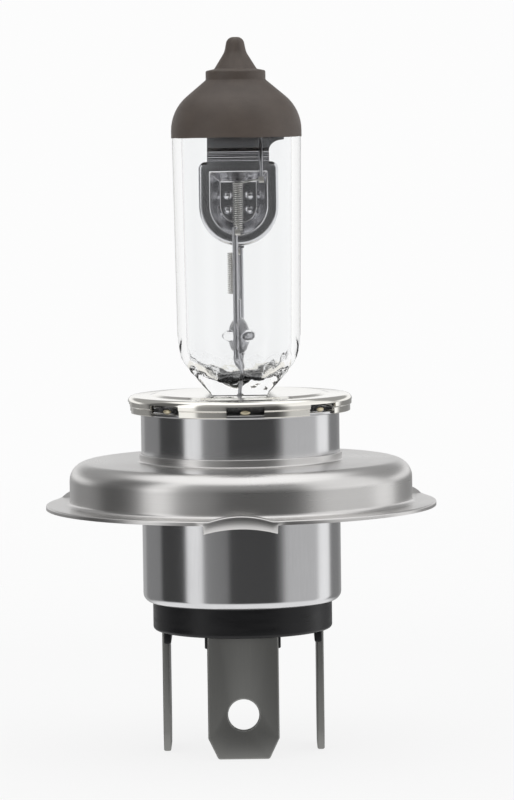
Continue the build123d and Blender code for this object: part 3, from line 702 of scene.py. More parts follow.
@dataclass
class PrefocusFlange:
    """The drawn cup, its brim with three raised lugs and the neck that hugs the shell."""

    sheet: float = 0.45
    cup_radius: float = 19.0
    shoulder: float = 2.0
    foot: float = 0.5
    neck_radius: float = 11.02
    neck_wall: float = 0.2
    neck_bend: float = 0.2
    neck_height: float = 0.9
    neck_rounds: Pair = (0.09, 0.05)
    brim_round: float = 0.16
    brim_edge: float = 0.2
    brim_band: float = 0.3
    lug_inner: float = 20.4
    lug_step: Pair = (0.05, 0.12)
    lug_half: float = 4.35
    lug_rise: float = 0.6
    lip_drop: float = 0.8
    lip_end_drop: float = 1.5
    lip_tuck: float = 0.12
    lip_bevel: float = 0.1
    flat_heights: Pair = (-0.6, 0.1)
    lug_angles: tuple[int, ...] = (-90, 30, 150)
    columns: int = 240
    brim_radius: float = field(init=False)
    cup_top: float = field(init=False)

    def __post_init__(self) -> None:
        """Reads the flange's radius and height from its node."""
        high = span("prefocus_flange")[1]
        self.cup_top = high.z - self.neck_height
        self.brim_radius = high.x

    def profile(self) -> Outline:
        """The sheet's section, with rings where the lugs are raised and their lips turned down."""
        t = self.sheet
        cup, brim, top = self.cup_radius, self.brim_radius, self.cup_top
        neck_in, neck_out = self.neck_radius, self.neck_radius + self.neck_wall
        neck_top = top + self.neck_height
        step_in, step_out = self.lug_inner - self.lug_step[0], self.lug_inner + self.lug_step[1]
        upper = [
            (brim, 0, self.brim_round),
            (step_out, 0, 0),
            (step_in, 0, 0),
            (cup, 0, self.foot),
            (cup, top, self.shoulder),
            (neck_out, top, self.neck_bend),
            (neck_out, neck_top, self.neck_rounds[0]),
        ]
        under = [
            (neck_in, neck_top, self.neck_rounds[1]),
            (neck_in, top - t, self.neck_bend + t),
            (cup - t, top - t, self.shoulder - t),
            (cup - t, -t, self.foot + t),
            (step_in, -t, 0),
            (step_out, -t, 0),
            (brim - t, -t, 0),
            (brim, -t, 0),
        ]
        return eased(upper + under, steps=8)

    def bow(self, across: float, rise: float, drop: float) -> float:
        """The height of a shallow bow over a lug's width.

        Args:
            across: Distance from the lug's middle line.
            rise: Height at the middle.
            drop: Height at the lug's ends.

        Returns:
            The height there.
        """
        sagitta = rise - drop
        radius = (self.lug_half**2 + sagitta**2) / (2 * sagitta)
        return math.sqrt(radius**2 - across**2) - radius + rise

    def raise_lugs(self, bm: BMesh) -> None:
        """Lifts the brim into three lugs and turns a lip down outside each one.

        Args:
            bm: The spun flange.
        """
        lip_from = self.brim_radius - self.sheet - 0.01
        for angle in self.lug_angles:
            turn = Matrix.Rotation(math.radians(-angle - 90), 4, "Z")
            back = turn.inverted()
            near = {}
            for vert in bm.verts:
                local = turn @ vert.co
                reach = math.hypot(local.x, local.y)
                if local.y < 0 and abs(local.x) < self.lug_half and reach > self.lug_inner:
                    near[vert] = local
            underside = [
                f
                for f in bm.faces
                if f.normal.z < -0.9
                and all(v in near for v in f.verts)
                and min(near[v].xy.length for v in f.verts) > lip_from
            ]
            for vert, local in near.items():
                lift = max(0.0, self.bow(local.x, self.lug_rise, -self.sheet))
                if local.xy.length > self.brim_radius - self.brim_band:
                    local.xy *= 1 + self.brim_edge / self.brim_radius
                vert.co = back @ Vector((local.x, local.y, local.z + lift))
            made = bmesh.ops.extrude_face_region(bm, geom=underside)["geom"]
            bmesh.ops.delete(bm, geom=underside, context="FACES")
            for vert in verts_of(made):
                local = turn @ vert.co
                local.xy *= 1 - self.lip_tuck / self.brim_radius
                drop = self.bow(local.x, -self.lip_drop, -self.lip_end_drop)
                vert.co = back @ Vector((local.x, local.y, drop))

    def build(self) -> BMesh:
        """Spins the sheet, raises its lugs and breaks their edges."""
        bm = spun(self.profile(), self.columns)
        face_out(bm)
        self.raise_lugs(bm)
        face_out(bm)
        low, high = self.flat_heights
        raised = [
            e for e in sharp_edges(bm, 50.0) if any(v.co.z > high or v.co.z < low for v in e.verts)
        ]
        lips = [e for e in raised if e.verts[0].co.xy.length > self.lug_inner]
        bevelled(bm, lips, self.lip_bevel)
        return bm

    def dress(self, finish: Metal) -> None:
        """Finishes the flange in pressed steel."""
        steel = finish.material()
        finished(self.build(), "flange_shell", steel, ["prefocus_flange"])


@dataclass
class BaseShell:
    """The steel tube with its collar under the cap and its lip rolled in round the insulator."""

    radius: float = 11.0
    wall: float = 0.5
    collar: float = 0.35
    collar_rounds: Corner = (0.12, 0.08, 0.2)
    roll: float = 0.95
    lip: float = 1.0
    columns: int = 192

    def build(self) -> BMesh:
        """Spins the tube's section."""
        low, high = span("base_shell")
        inner, lip = self.radius - self.wall, self.radius - self.lip
        brow, chin, seat = self.collar_rounds
        outline = eased(
            [
                (inner, high.z, self.collar),
                (high.x, high.z, brow),
                (high.x, high.z - self.collar, chin),
                (self.radius, high.z - self.collar, seat),
                (self.radius, low.z, self.roll),
                (lip, low.z, 0),
                (lip, low.z + self.wall, 0),
                (inner, low.z + self.wall, self.roll - self.wall),
            ],
            steps=8,
        )
        bm = spun(outline, self.columns)
        face_out(bm)
        return bm

    def dress(self, finish: Metal) -> None:
        """Finishes the shell in drawn steel."""
        steel = finish.material()
        finished(self.build(), "base_tube", steel, ["base_shell"])


@dataclass
class CapDisc:
    """The bright crowned plate: a two-step rim, a notched skirt and a weld nub in each notch."""

    crown: float = 0.2
    crown_radius: float = 9.2
    crown_slope: float = 0.8
    edge: float = 0.6
    ledge: float = 0.15
    ledge_height: float = 0.85
    ledge_round: float = 0.1
    skirt: float = 0.3
    skirt_round: float = 0.12
    skirt_band: float = 0.6
    sheet: float = 0.35
    opening: Pair = (3.05, 6.05)
    notches: int = 8
    first_notch: float = -87.0
    notch_arc: float = 19.0
    notch_columns: int = 12
    columns_per_notch: int = 30
    tight: float = 0.12
    nub: float = 0.5
    nub_squash: Corner = (0.55, 1.15, 0.5)
    nub_inset: float = 0.22
    nub_rise: float = 0.62

    def profile(self, low: Vector, high: Vector) -> Outline:
        """The plate's section from the edge of its opening, over the rim and back underneath.

        Args:
            low: The node's lowest corner.
            high: The node's highest corner.

        Returns:
            The closed outline.
        """
        radius, top = high.x, high.z - self.crown
        ledge_z = top - self.edge - self.ledge_height / 2
        skirt_out = radius - self.ledge
        skirt_in = skirt_out - self.skirt
        bore = max(self.opening)
        return eased(
            [
                (bore, top + self.crown, 0),
                (self.crown_radius, top + self.crown, self.crown_slope),
                (self.crown_radius + self.crown_slope, top, self.crown_slope),
                (radius, top, self.edge),
                (radius, ledge_z, self.ledge_round),
                (skirt_out, ledge_z - self.ledge, 0),
                (skirt_out, low.z, self.skirt_round),
                (skirt_in, low.z, 0),
                (skirt_in, top - self.sheet, 0),
                (bore, top - self.sheet, 0),
            ],
            steps=6,
        )

    def column_angle(self, column: int) -> float:
        """Where a spun column goes, so that columns stand close on both sides of a notch's ends.

        Args:
            column: The column's number counted from the first notch's start.

        Returns:
            Its angle in degrees.
        """
        period, inside, tight = 360.0 / self.notches, self.notch_columns, self.tight
        whole, step = divmod(column, self.columns_per_notch)
        if step < inside:
            share = tight + step / (inside - 1) * (self.notch_arc - 2 * tight)
        else:
            rest = period - self.notch_arc
            along = (step - inside) / (self.columns_per_notch - inside - 1)
            share = self.notch_arc + tight + along * (rest - 2 * tight)
        return self.first_notch - self.notch_arc / 2 + whole * period + share

    def build(self) -> BMesh:
        """Spins the plate, squares its opening and cuts the notches up to the rounded rim."""
        low, high = span("cap_disc")
        columns = self.notches * self.columns_per_notch
        bm = spun(self.profile(low, high), columns)
        notch_top = high.z - self.crown - self.edge
        skirt_from, inner_from = high.x - self.skirt_band, high.x - self.ledge - 0.1
        bore = max(self.opening)
        for vert in bm.verts:
            column = round(math.degrees(math.atan2(vert.co.y, vert.co.x)) / 360 * columns) % columns
            angle = math.radians(self.column_angle(column))
            notched = column % self.columns_per_notch < self.notch_columns
            radius = vert.co.xy.length
            if radius < bore + 1e-3:
                across, along = abs(math.cos(angle)) + 1e-9, abs(math.sin(angle)) + 1e-9
                radius = min(self.opening[0] / across, self.opening[1] / along)
            elif notched and vert.co.z < notch_top - 1e-3 and radius > skirt_from:
                vert.co.z = notch_top - 0.01 * (radius < inner_from)
            vert.co.xy = (radius * math.cos(angle), radius * math.sin(angle))
        face_out(bm)
        return bm

    def weld_nubs(self) -> BMesh:
        """A small flattened bead of weld under the middle of each notch."""
        low, high = span("cap_disc")
        place = (high.x - self.ledge - self.skirt - self.nub_inset, 0, low.z + self.nub_rise)
        bm = bmesh.new()
        for number in range(self.notches):
            made = bead(bm, self.nub, self.nub_squash, place, (16, 10))
            turned(bm, made, self.first_notch + 360 * number / self.notches)
        return bm

    def dress(self, plate: Metal, weld: Metal) -> None:
        """Finishes the plate in bright nickel and its welds in a duller, yellower metal."""
        finished(self.build(), "cap_plate", plate.material(), ["cap_disc"])
        finished(self.weld_nubs(), "cap_welds", weld.material(), [])


@dataclass
class QuartzEnvelope:
    """The quartz tube, its dome and tip, the pressed wings above the cap and the flat pinch."""

    low_radius: float = 6.8
    top_radius: float = 7.1
    wall: float = 1.0
    taper_from: float = 17.3
    taper_to: float = 39.4
    morph_top: float = 18.6
    wing_corner: float = 15.9
    wing_slope: float = 0.4565
    wing_soft: float = 0.9
    wing_bulge: float = 0.12
    wing_swell: float = 0.05
    pinch_half: Pair = (3.0, 6.0)
    pinch_top: float = 12.3
    pinch_levels: Corner = (11.6, 8.0, 5.0)
    floor_half: float = 2.2
    floor: float = 13.9
    floor_rise: float = 1.6
    floor_swell: float = 0.5
    floor_shares: tuple[float, ...] = (
        1.0, 0.985, 0.96, 0.93, 0.89, 0.84, 0.76, 0.66, 0.55, 0.42, 0.28, 0.14,
    )
    corner_from: float = 0.86
    corner_rise: float = 0.9
    chamber_top: float = 45.2
    chamber_rounds: Pair = (3.4, 3.0)
    chamber_crown: float = 0.85
    dome_start: float = 41.15
    dome_arc: float = 4.8
    dome_slope: float = 40.0
    ring: Pair = (3.2, 47.6)
    ring_round: float = 0.22
    tip_base: Corner = (2.25, 47.8, 0.25)
    tip_neck: Corner = (1.1, 49.75, 2.0)
    nozzle: float = 0.78
    coat_edge: float = 40.4
    coat: float = 0.1
    coat_gap: float = 0.012
    coat_waver: float = 0.07
    columns: int = 128

    def skin(self, grow: float, bottom: float) -> Outline:
        """The outer section from a height up to the tip.

        Args:
            grow: How far outside the quartz it runs.
            bottom: The height it starts at.

        Returns:
            The open outline.
        """
        ring, ring_top = self.ring
        high = span("glass_envelope")[1].z
        nozzle = self.nozzle + grow
        wide, slope = self.top_radius + grow, math.radians(self.dome_slope)
        share = (bottom - self.taper_from) / (self.taper_to - self.taper_from)
        start = self.low_radius + (self.top_radius - self.low_radius) * min(1.0, max(0.0, share))
        taper = [] if bottom > self.taper_to else [(wide, self.taper_to, 0)]
        half_turn = math.radians(90 - self.dome_slope) / 2
        shoulder = self.dome_start + (self.dome_arc + grow) * math.tan(half_turn)
        ring_base = shoulder + (self.top_radius - ring) * math.tan(slope)
        dome = [
            (wide, shoulder, self.dome_arc + grow),
            (ring + grow, ring_base, self.ring_round),
            (ring + grow, ring_top + grow, self.ring_round),
            (self.tip_base[0] + grow, self.tip_base[1] + grow, self.tip_base[2]),
            (self.tip_neck[0] + grow, self.tip_neck[1], self.tip_neck[2]),
            (nozzle, high + grow, nozzle * 0.92),
            (0, high + grow, 0),
        ]
        return eased([(start + grow, bottom, 0), *taper, *dome], steps=8, closed=False)

    def wing_limits(self, z: float) -> Pair:
        """How far the pressed section reaches in x and in y at a height.

        Args:
            z: The height.

        Returns:
            The half widths.
        """
        half_x, half_y = self.pinch_half
        if z <= self.pinch_top:
            return self.pinch_half
        slope = (self.low_radius - half_x) / (self.wing_corner - self.pinch_top)
        straight = half_x + (z - self.pinch_top) * slope
        past = (straight - self.low_radius) / self.wing_soft
        ease = math.log1p(math.exp(past)) * self.wing_soft
        bulge = self.wing_bulge * math.exp(-((z - self.wing_corner) ** 2))
        return straight - ease + bulge, half_y + (z - self.pinch_top) * self.wing_slope

    def outer(self) -> BMesh:
        """The outside of the quartz: spun above, then pressed flat ring by ring to the pinch."""
        bm = spun(self.skin(0.0, self.morph_top), self.columns, closed=False)
        turn = kept_turns(bm)

        def pressed(vert: BMVert, z: float) -> Vector:
            """A vertex's place on the pressed section at a height.

            Args:
                vert: A vertex that knows its angle.
                z: The height.

            Returns:
                The place.
            """
            half_x, half_y = self.wing_limits(z)
            x, y = self.low_radius * math.cos(vert[turn]), self.low_radius * math.sin(vert[turn])
            return Vector((max(-half_x, min(half_x, x)), max(-half_y, min(half_y, y)), z))

        levels = [self.morph_top - 0.3 * n for n in range(1, 22)]
        levels += [self.pinch_top, *self.pinch_levels]
        rim = drawn_on(bm, open_rim(bm), levels, pressed)
        bmesh.ops.edgeloop_fill(bm, edges=rim)
        wings = [v for v in bm.verts if self.pinch_top - 1 < v.co.z < self.morph_top - 0.5]
        for _ in range(4):
            bmesh.ops.smooth_vert(
                bm, verts=wings, factor=0.5, use_axis_x=True, use_axis_y=True, use_axis_z=False
            )
        for vert in wings:
            swell = noise.noise(Vector(vert.co) * 0.55) + 0.5 * noise.noise(Vector(vert.co) * 1.3)
            fade = min(1.0, max(0.0, (self.morph_top - 0.8 - vert.co.z) / 1.5))
            vert.co.xy = vert.co.xy * (1 - self.wing_swell * abs(swell) * fade)
        face_out(bm)
        return bm

    def chamber(self) -> BMesh:
        """The inside of the quartz: a domed bore whose floor slopes up towards both flat sides."""
        inner, wide = self.low_radius - self.wall, self.top_radius - self.wall
        outline = eased(
            [
                (inner, self.taper_from, 0),
                (wide, self.taper_to, 0),
                (wide, self.chamber_top - 1, self.chamber_rounds[0]),
                (self.chamber_crown, self.chamber_top, self.chamber_rounds[1]),
                (0, self.chamber_top, 0),
            ],
            steps=8,
            closed=False,
        )
        bm = spun(outline, self.columns, closed=False)
        turn = kept_turns(bm)

        def floor_at(vert: BMVert, share: float) -> Vector:
            """A vertex's place on the chamber's floor at a share of the bore's radius.

            Args:
                vert: A vertex that knows its angle.
                share: The share of the radius.

            Returns:
                The place.
            """
            reach = inner * min(1.0, share)
            x, y = reach * math.cos(vert[turn]), reach * math.sin(vert[turn])
            slope = max(0.0, abs(x) - self.floor_half) / (inner - self.floor_half)
            swell = noise.noise(Vector((x, y, 3.0)) * 0.6)
            swell += 0.4 * noise.noise(Vector((x, y, 9.0)) * 1.5)
            height = self.floor + self.floor_rise * slope
            height += self.floor_swell * swell * (1 - share**4)
            corner = max(0.0, share - self.corner_from) / (1 - self.corner_from)
            return Vector((x, y, height + self.corner_rise * corner**2.2))

        rim = drawn_on(bm, open_rim(bm), self.floor_shares, floor_at)
        bmesh.ops.edgeloop_fill(bm, edges=rim)
        face_out(bm)
        bmesh.ops.reverse_faces(bm, faces=bm.faces)
        return bm

    def body(self) -> BMesh:
        """Both walls of the quartz in one mesh, the inner one in the second material."""
        whole, inside = self.outer(), self.chamber()
        for face in inside.faces:
            face.material_index = 1
        holder = bpy.data.meshes.new("chamber")
        inside.to_mesh(holder)
        inside.free()
        whole.from_mesh(holder)
        bpy.data.meshes.remove(holder)
        return whole

    def coating(self) -> BMesh:
        """The opaque coat over the dome, with the slightly wavering edge of a dipped coat."""
        outside = self.skin(self.coat, self.coat_edge)
        inside = self.skin(self.coat_gap, self.coat_edge)
        bm = spun(outside + inside[::-1], self.columns)
        for vert in bm.verts:
            if vert.co.z < self.coat_edge + 0.05:
                where = Vector((vert.co.x, vert.co.y, 0)) * 0.35
                vert.co.z += self.coat_waver * (noise.noise(where) - 0.2)
        face_out(bm)
        return bm

    def dress(self, quartz: Quartz, bore: Quartz, coat: Ceramic) -> None:
        """Finishes the envelope and its coat.

        Args:
            quartz: The glass finish.
            bore: The glass finish of the inner wall, greyed by painted shade at grazing angles.
            coat: The coat's finish.
        """
        glass, ceramic = quartz.material(), coat.material()
        bulb = finished(self.body(), "quartz_bulb", glass, ["glass_envelope"], 50.0)
        bulb.data.materials.append(bore.material())
        finished(self.coating(), "glare_coat", ceramic, ["glare_coating"], 50.0)


@dataclass
class BeamShield:
    """The stamped dish behind the upper filament with its dimples, stepped neck and side arm."""

    sheet: float = 0.25
    front: float = 0.3
    depth: float = 1.6
    centre: float = 0.15
    half: float = 4.45
    shoulder: float = 0.8
    lip: float = 1.25
    edge: float = 0.45
    wall_reach: float = 1.16
    wall_round: float = 0.3
    floor_ring: float = 0.4
    dish_bottom: float = 28.4
    dish_top: float = 37.7
    dimple: float = 0.5
    dimple_x: float = 1.2
    dimple_heights: Pair = (32.4, 34.0)
    neck_half: float = 3.45
    neck_step: float = 0.9
    neck_seats: tuple[float, ...] = (-1.0, -0.34, 0.33, 1.0)
    neck_beads: tuple[Corner, ...] = (
        (0.0, 0.05, 0.1), (0.38, 0.22, 0.08), (0.06, 0.55, 0.1), (0.62, 0.85, 0.08),
        (0.34, 1.15, 0.1),
    )
    step_top: float = 38.7
    arm_reach: float = 1.75
    arm_bottom: float = 40.1
    arm_top: float = 41.3
    arm_round: float = 1.2
    tongue: Corner = (0.8, 0.25, 1.5)
    tongue_place: Pair = (0.28, 0.5)

    def outline(self, inset: float) -> Outline:
        """The dish's outline set in by a distance: square shoulders over a half circle.

        Args:
            inset: The distance.

        Returns:
            The closed outline.
        """
        half = self.half - inset
        low, high, corner = self.dish_bottom + inset, self.dish_top - inset * 0.9, half * 0.999
        shoulder = max(self.shoulder - inset, 0.18)
        left, right = self.centre - half, self.centre + half
        below = [(left, low, corner), (right, low, corner)]
        return eased([*below, (right, high, shoulder), (left, high, shoulder)], 24)

    def section(self) -> Outline:
        """The dish's section as (inset, depth): rim, rolled edge, lip, sloped wall and floor."""
        floor, foot = self.front + self.depth, self.lip + self.wall_reach
        return eased(
            [
                (0, floor + self.sheet, 0),
                (0, self.front, self.edge),
                (self.lip, self.front, self.wall_round),
                (foot, floor, self.wall_round),
                (foot + self.floor_ring, floor, 0),
            ],
            steps=6,
            closed=False,
        )

    def thickened(self, bm: BMesh, faces: list[bmesh.types.BMFace]) -> None:
        """Faces a sheet to the front and gives it its thickness behind.

        Args:
            bm: The mesh.
            faces: The sheet's faces.
        """
        bmesh.ops.recalc_face_normals(bm, faces=faces)
        if sum(f.normal.y * f.calc_area() for f in faces) > 0:
            bmesh.ops.reverse_faces(bm, faces=faces)
        bmesh.ops.solidify(bm, geom=faces, thickness=self.sheet)

    def dish(self, bm: BMesh) -> None:
        """Builds the dish ring by ring from its rim to its floor, and its dimples.

        Args:
            bm: The mesh to add to, empty so far.
        """
        section = self.section()
        rings = {inset: self.outline(inset) for inset, _ in section}
        seat = bm.verts.layers.int.new("seat")
        rim = [bm.verts.new((x, section[0][1], z)) for x, z in self.outline(0.0)]
        for number, vert in enumerate(rim):
            vert[seat] = number

        def placed(vert: BMVert, stage: float) -> Vector:
            """A vertex's place on a ring of the section.

            Args:
                vert: A vertex that knows its seat on the outline.
                stage: The ring's number.

            Returns:
                The place.
            """
            inset, depth = section[int(stage)]
            x, z = rings[inset][vert[seat]]
            return Vector((x, depth, z))

        inner = drawn_on(bm, ring_of(rim, bm), range(1, len(section)), placed)
        bmesh.ops.edgeloop_fill(bm, edges=inner)
        self.thickened(bm, bm.faces[:])
        for height in self.dimple_heights:
            for side in (-1, 1):
                place = (self.centre + side * self.dimple_x, self.front + self.depth, height)
                bead(bm, self.dimple, (1.0, 0.62, 1.0), place, (24, 14))

    def neck(self, bm: BMesh) -> None:
        """Builds the strip above the dish, beaded across, with the arm flared to the right.

        Args:
            bm: The mesh to add to.
        """
        near, far, top = self.front - 0.004, self.front + self.neck_step, self.dish_top
        beads = [(near + out, top + rise, soft) for out, rise, soft in self.neck_beads]
        ends = [(far, self.step_top + 0.4, 0.2), (far, self.arm_top + 1.6, 0)]
        line = eased([(near, top - self.edge, 0), *beads, *ends], steps=6, closed=False)
        flare = [self.step_top + 0.6 + 0.1 * n for n in range(1, 35)]
        rows = line[:-1] + [(far, z) for z in flare if z < line[-1][1]] + [line[-1]]
        arm_from = self.arm_bottom - self.arm_round
        across = [self.centre + side * self.neck_half for side in self.neck_seats]
        seats = [bm.verts.new((x, *rows[0])) for x in across]
        edges = [bm.edges.new(pair) for pair in zip(seats, seats[1:])]

        def stepped(vert: BMVert, stage: float) -> Vector:
            """A vertex's place on a row, wider on the right where the arm is.

            Args:
                vert: The vertex, still on the row before.
                stage: The row's number.

            Returns:
                The place.
            """
            y, z = rows[int(stage)]
            x = vert.co.x
            if x > self.centre + self.neck_half - 0.01:
                x = self.centre + self.neck_half
                if arm_from < z <= self.arm_top:
                    swing = min(1.0, (z - self.arm_bottom + self.arm_round) / self.arm_round)
                    x += self.arm_reach * (1 - math.sqrt(1 - swing**2))
            return Vector((x, y, z))

        before = set(bm.faces)
        drawn_on(bm, edges, range(1, len(rows)), stepped)
        self.thickened(bm, [f for f in bm.faces if f not in before])

    def build(self) -> BMesh:
        """The dish, its neck and the tongue welded to the common lead."""
        bm = bmesh.new()
        self.dish(bm)
        self.neck(bm)
        x, rise = self.tongue_place
        depth = self.front + self.depth + self.tongue[1] / 2
        block(bm, self.tongue, (x, depth, self.dish_bottom + rise))
        return bm

    def dress(self, finish: Metal) -> None:
        """Finishes the shield in rolled molybdenum."""
        sheet = finish.material()
        finished(self.build(), "dipped_beam_shield", sheet, ["beam_shield"])


@dataclass
class InnerWiring:
    """The three leads, the return wire, the quartz bridge and the small folded clamps."""

    lead_radius: float = 0.3
    stagger: float = 0.28
    seal_pitch: float = 3.4
    lead_foot: float = 10.2
    fan: Pair = (14.4, 16.0)
    bend: float = 0.7
    passing_y: float = -2.0
    common_y: float = 2.47
    return_radius: float = 0.18
    return_x: float = 2.7
    return_y: Pair = (0.02, 1.0)
    return_step: Pair = (38.0, 39.7)
    bridge_z: float = 18.55
    bridge_core: Pair = (1.2, 2.05)
    bridge_wing: Pair = (1.9, 0.7)
    clamp: Corner = (0.62, 0.8, 0.7)
    clamp_places: tuple[Corner, ...] = (
        (0.03, -2.0, 30.0), (0.0, 0.3, 22.2), (-0.02, 2.47, 27.7), (2.7, -0.12, 35.7),
    )

    def leads(self, finish: Material) -> None:
        """Builds the leads and the return wire in drawn molybdenum.

        Args:
            finish: Their finish.
        """
        low, high = self.fan
        routes = {
            "passing_lead_wire": (-self.seal_pitch, -self.stagger, self.passing_y),
            "driving_lead_wire": (0.0, 0.0, 0.0),
            "common_lead_wire": (self.seal_pitch, self.stagger, self.common_y),
        }
        for node, (seal_y, x, y) in routes.items():
            top = span(node)[1].z
            foot = [(0, seal_y, self.lead_foot), (0, seal_y, low)]
            line = bent([*foot, (x, y, high), (x, y, top)], self.bend)
            mesh = wire_mesh(line, self.lead_radius, 5)
            finished(mesh, node.replace("_wire", "_post"), finish, [node])
        bottom, top = span("passing_return_wire")
        (near, far), (below, above) = self.return_y, self.return_step
        places = [(near, bottom.z), (near, below), (far, above), (far, top.z)]
        line = bent([(self.return_x, y, z) for y, z in places], self.bend)
        mesh = wire_mesh(line, self.return_radius, 4)
        finished(mesh, "return_wire", finish, ["passing_return_wire"])

    def bridge(self) -> BMesh:
        """The pressed quartz bar: an oval bead drawn along Y with a wing squeezed out each side."""
        low, high = span("lead_bridge")
        half, middle = (high.y - low.y) / 2, (high.y + low.y) / 2
        (core_x, core_z), (wing_x, wing_z) = self.bridge_core, self.bridge_wing
        bm = bmesh.new()
        made = bmesh.ops.create_uvsphere(bm, u_segments=56, v_segments=36, radius=1.0)["verts"]
        turned(bm, made, 90, "X")
        for vert in bm.verts:
            x, y, z = vert.co
            swell = 1.0
            if abs(y) < 0.999:
                swell = (1 - abs(y) ** 5) ** 0.5 / max(math.sqrt(max(1 - y * y, 0.0)), 0.05)
            ring = math.hypot(x, z) + 1e-9
            cosine, sine = x / ring, z / ring
            core = 1 / math.hypot(cosine / core_x, sine / core_z)
            wing = 1 / math.hypot(cosine / wing_x, sine / wing_z)
            reach = (core**8 + wing**8) ** 0.125
            vert.co = (x * reach * swell, y * half, self.bridge_z + z * reach * swell)
        bmesh.ops.translate(bm, vec=(0, middle, 0), verts=bm.verts)
        bmesh.ops.remove_doubles(bm, verts=bm.verts, dist=1e-4)
        face_out(bm)
        return bm

    def clamps(self) -> BMesh:
        """Small folded tabs where tails meet leads, each with a pinched middle."""
        bm = bmesh.new()
        for place in self.clamp_places:
            made = bmesh.ops.create_grid(bm, x_segments=4, y_segments=4, size=0.5)["verts"]
            faces = list({f for v in made for f in v.link_faces})
            top = verts_of(bmesh.ops.extrude_face_region(bm, geom=faces)["geom"])
            bmesh.ops.translate(bm, vec=(0, 0, 1), verts=top)
            whole = made + top
            bmesh.ops.translate(bm, vec=(0, 0, -0.5), verts=whole)
            for vert in whole:
                vert.co.x *= 0.82 + 0.36 * abs(vert.co.y)
                vert.co.z *= 0.9 + 0.2 * abs(vert.co.x)
            bmesh.ops.scale(bm, vec=self.clamp, verts=whole)
            bmesh.ops.translate(bm, vec=place, verts=whole)
        face_out(bm)
        bevelled(bm, sharp_edges(bm, 50.0), 0.06, 2, clamp=True)
        return bm

    def dress(self, glass: Material, wire: Material, clamp: Metal) -> None:
        """Finishes the wiring.

        Args:
            glass: The quartz for the bridge.
            wire: The metal of the leads.
            clamp: The finish of the clamps.
        """
        self.leads(wire)
        finished(self.bridge(), "quartz_bridge", glass, ["lead_bridge"], 70.0)
        tabs = clamp.material()
        finished(self.clamps(), "weld_clamps", tabs, ["filament_clamps"])


@dataclass
class Filament:
    """One coiled tungsten filament with its two tails."""

    node: str
    centre_x: float
    radius: float
    bottom: float
    length: float
    turns: float
    start: float
    tail_in: Sequence[Corner]
    tail_out: Sequence[Corner]
    tail_bend: float = 0.25
    wire: float = 0.085
    steps: int = 16

    def line(self) -> list[Vector]:
        """The whole wire's line: tail, coil and tail."""
        coil = []
        count = round(self.turns * self.steps)
        for n in range(count + 1):
            turn = math.radians(self.start) + math.tau * self.turns * n / count
            x, y = math.cos(turn) * self.radius, math.sin(turn) * self.radius
            coil.append(Vector((self.centre_x + x, y, self.bottom + self.length * n / count)))
        entry, leave = coil[0] + (coil[0] - coil[1]), coil[-1] + (coil[-1] - coil[-2])
        before = bent([*self.tail_in, entry, coil[0]], self.tail_bend)
        after = bent([coil[-1], leave, *self.tail_out], self.tail_bend)
        return before[:-1] + coil + after[1:]

    def dress(self, finish: Material) -> None:
        """Finishes the filament in drawn tungsten.

        Args:
            finish: The wire's finish.
        """
        mesh = wire_mesh(self.line(), self.wire, 2)
        name = self.node.replace("filament", "coil")
        finished(mesh, name, finish, [self.node], 60.0)


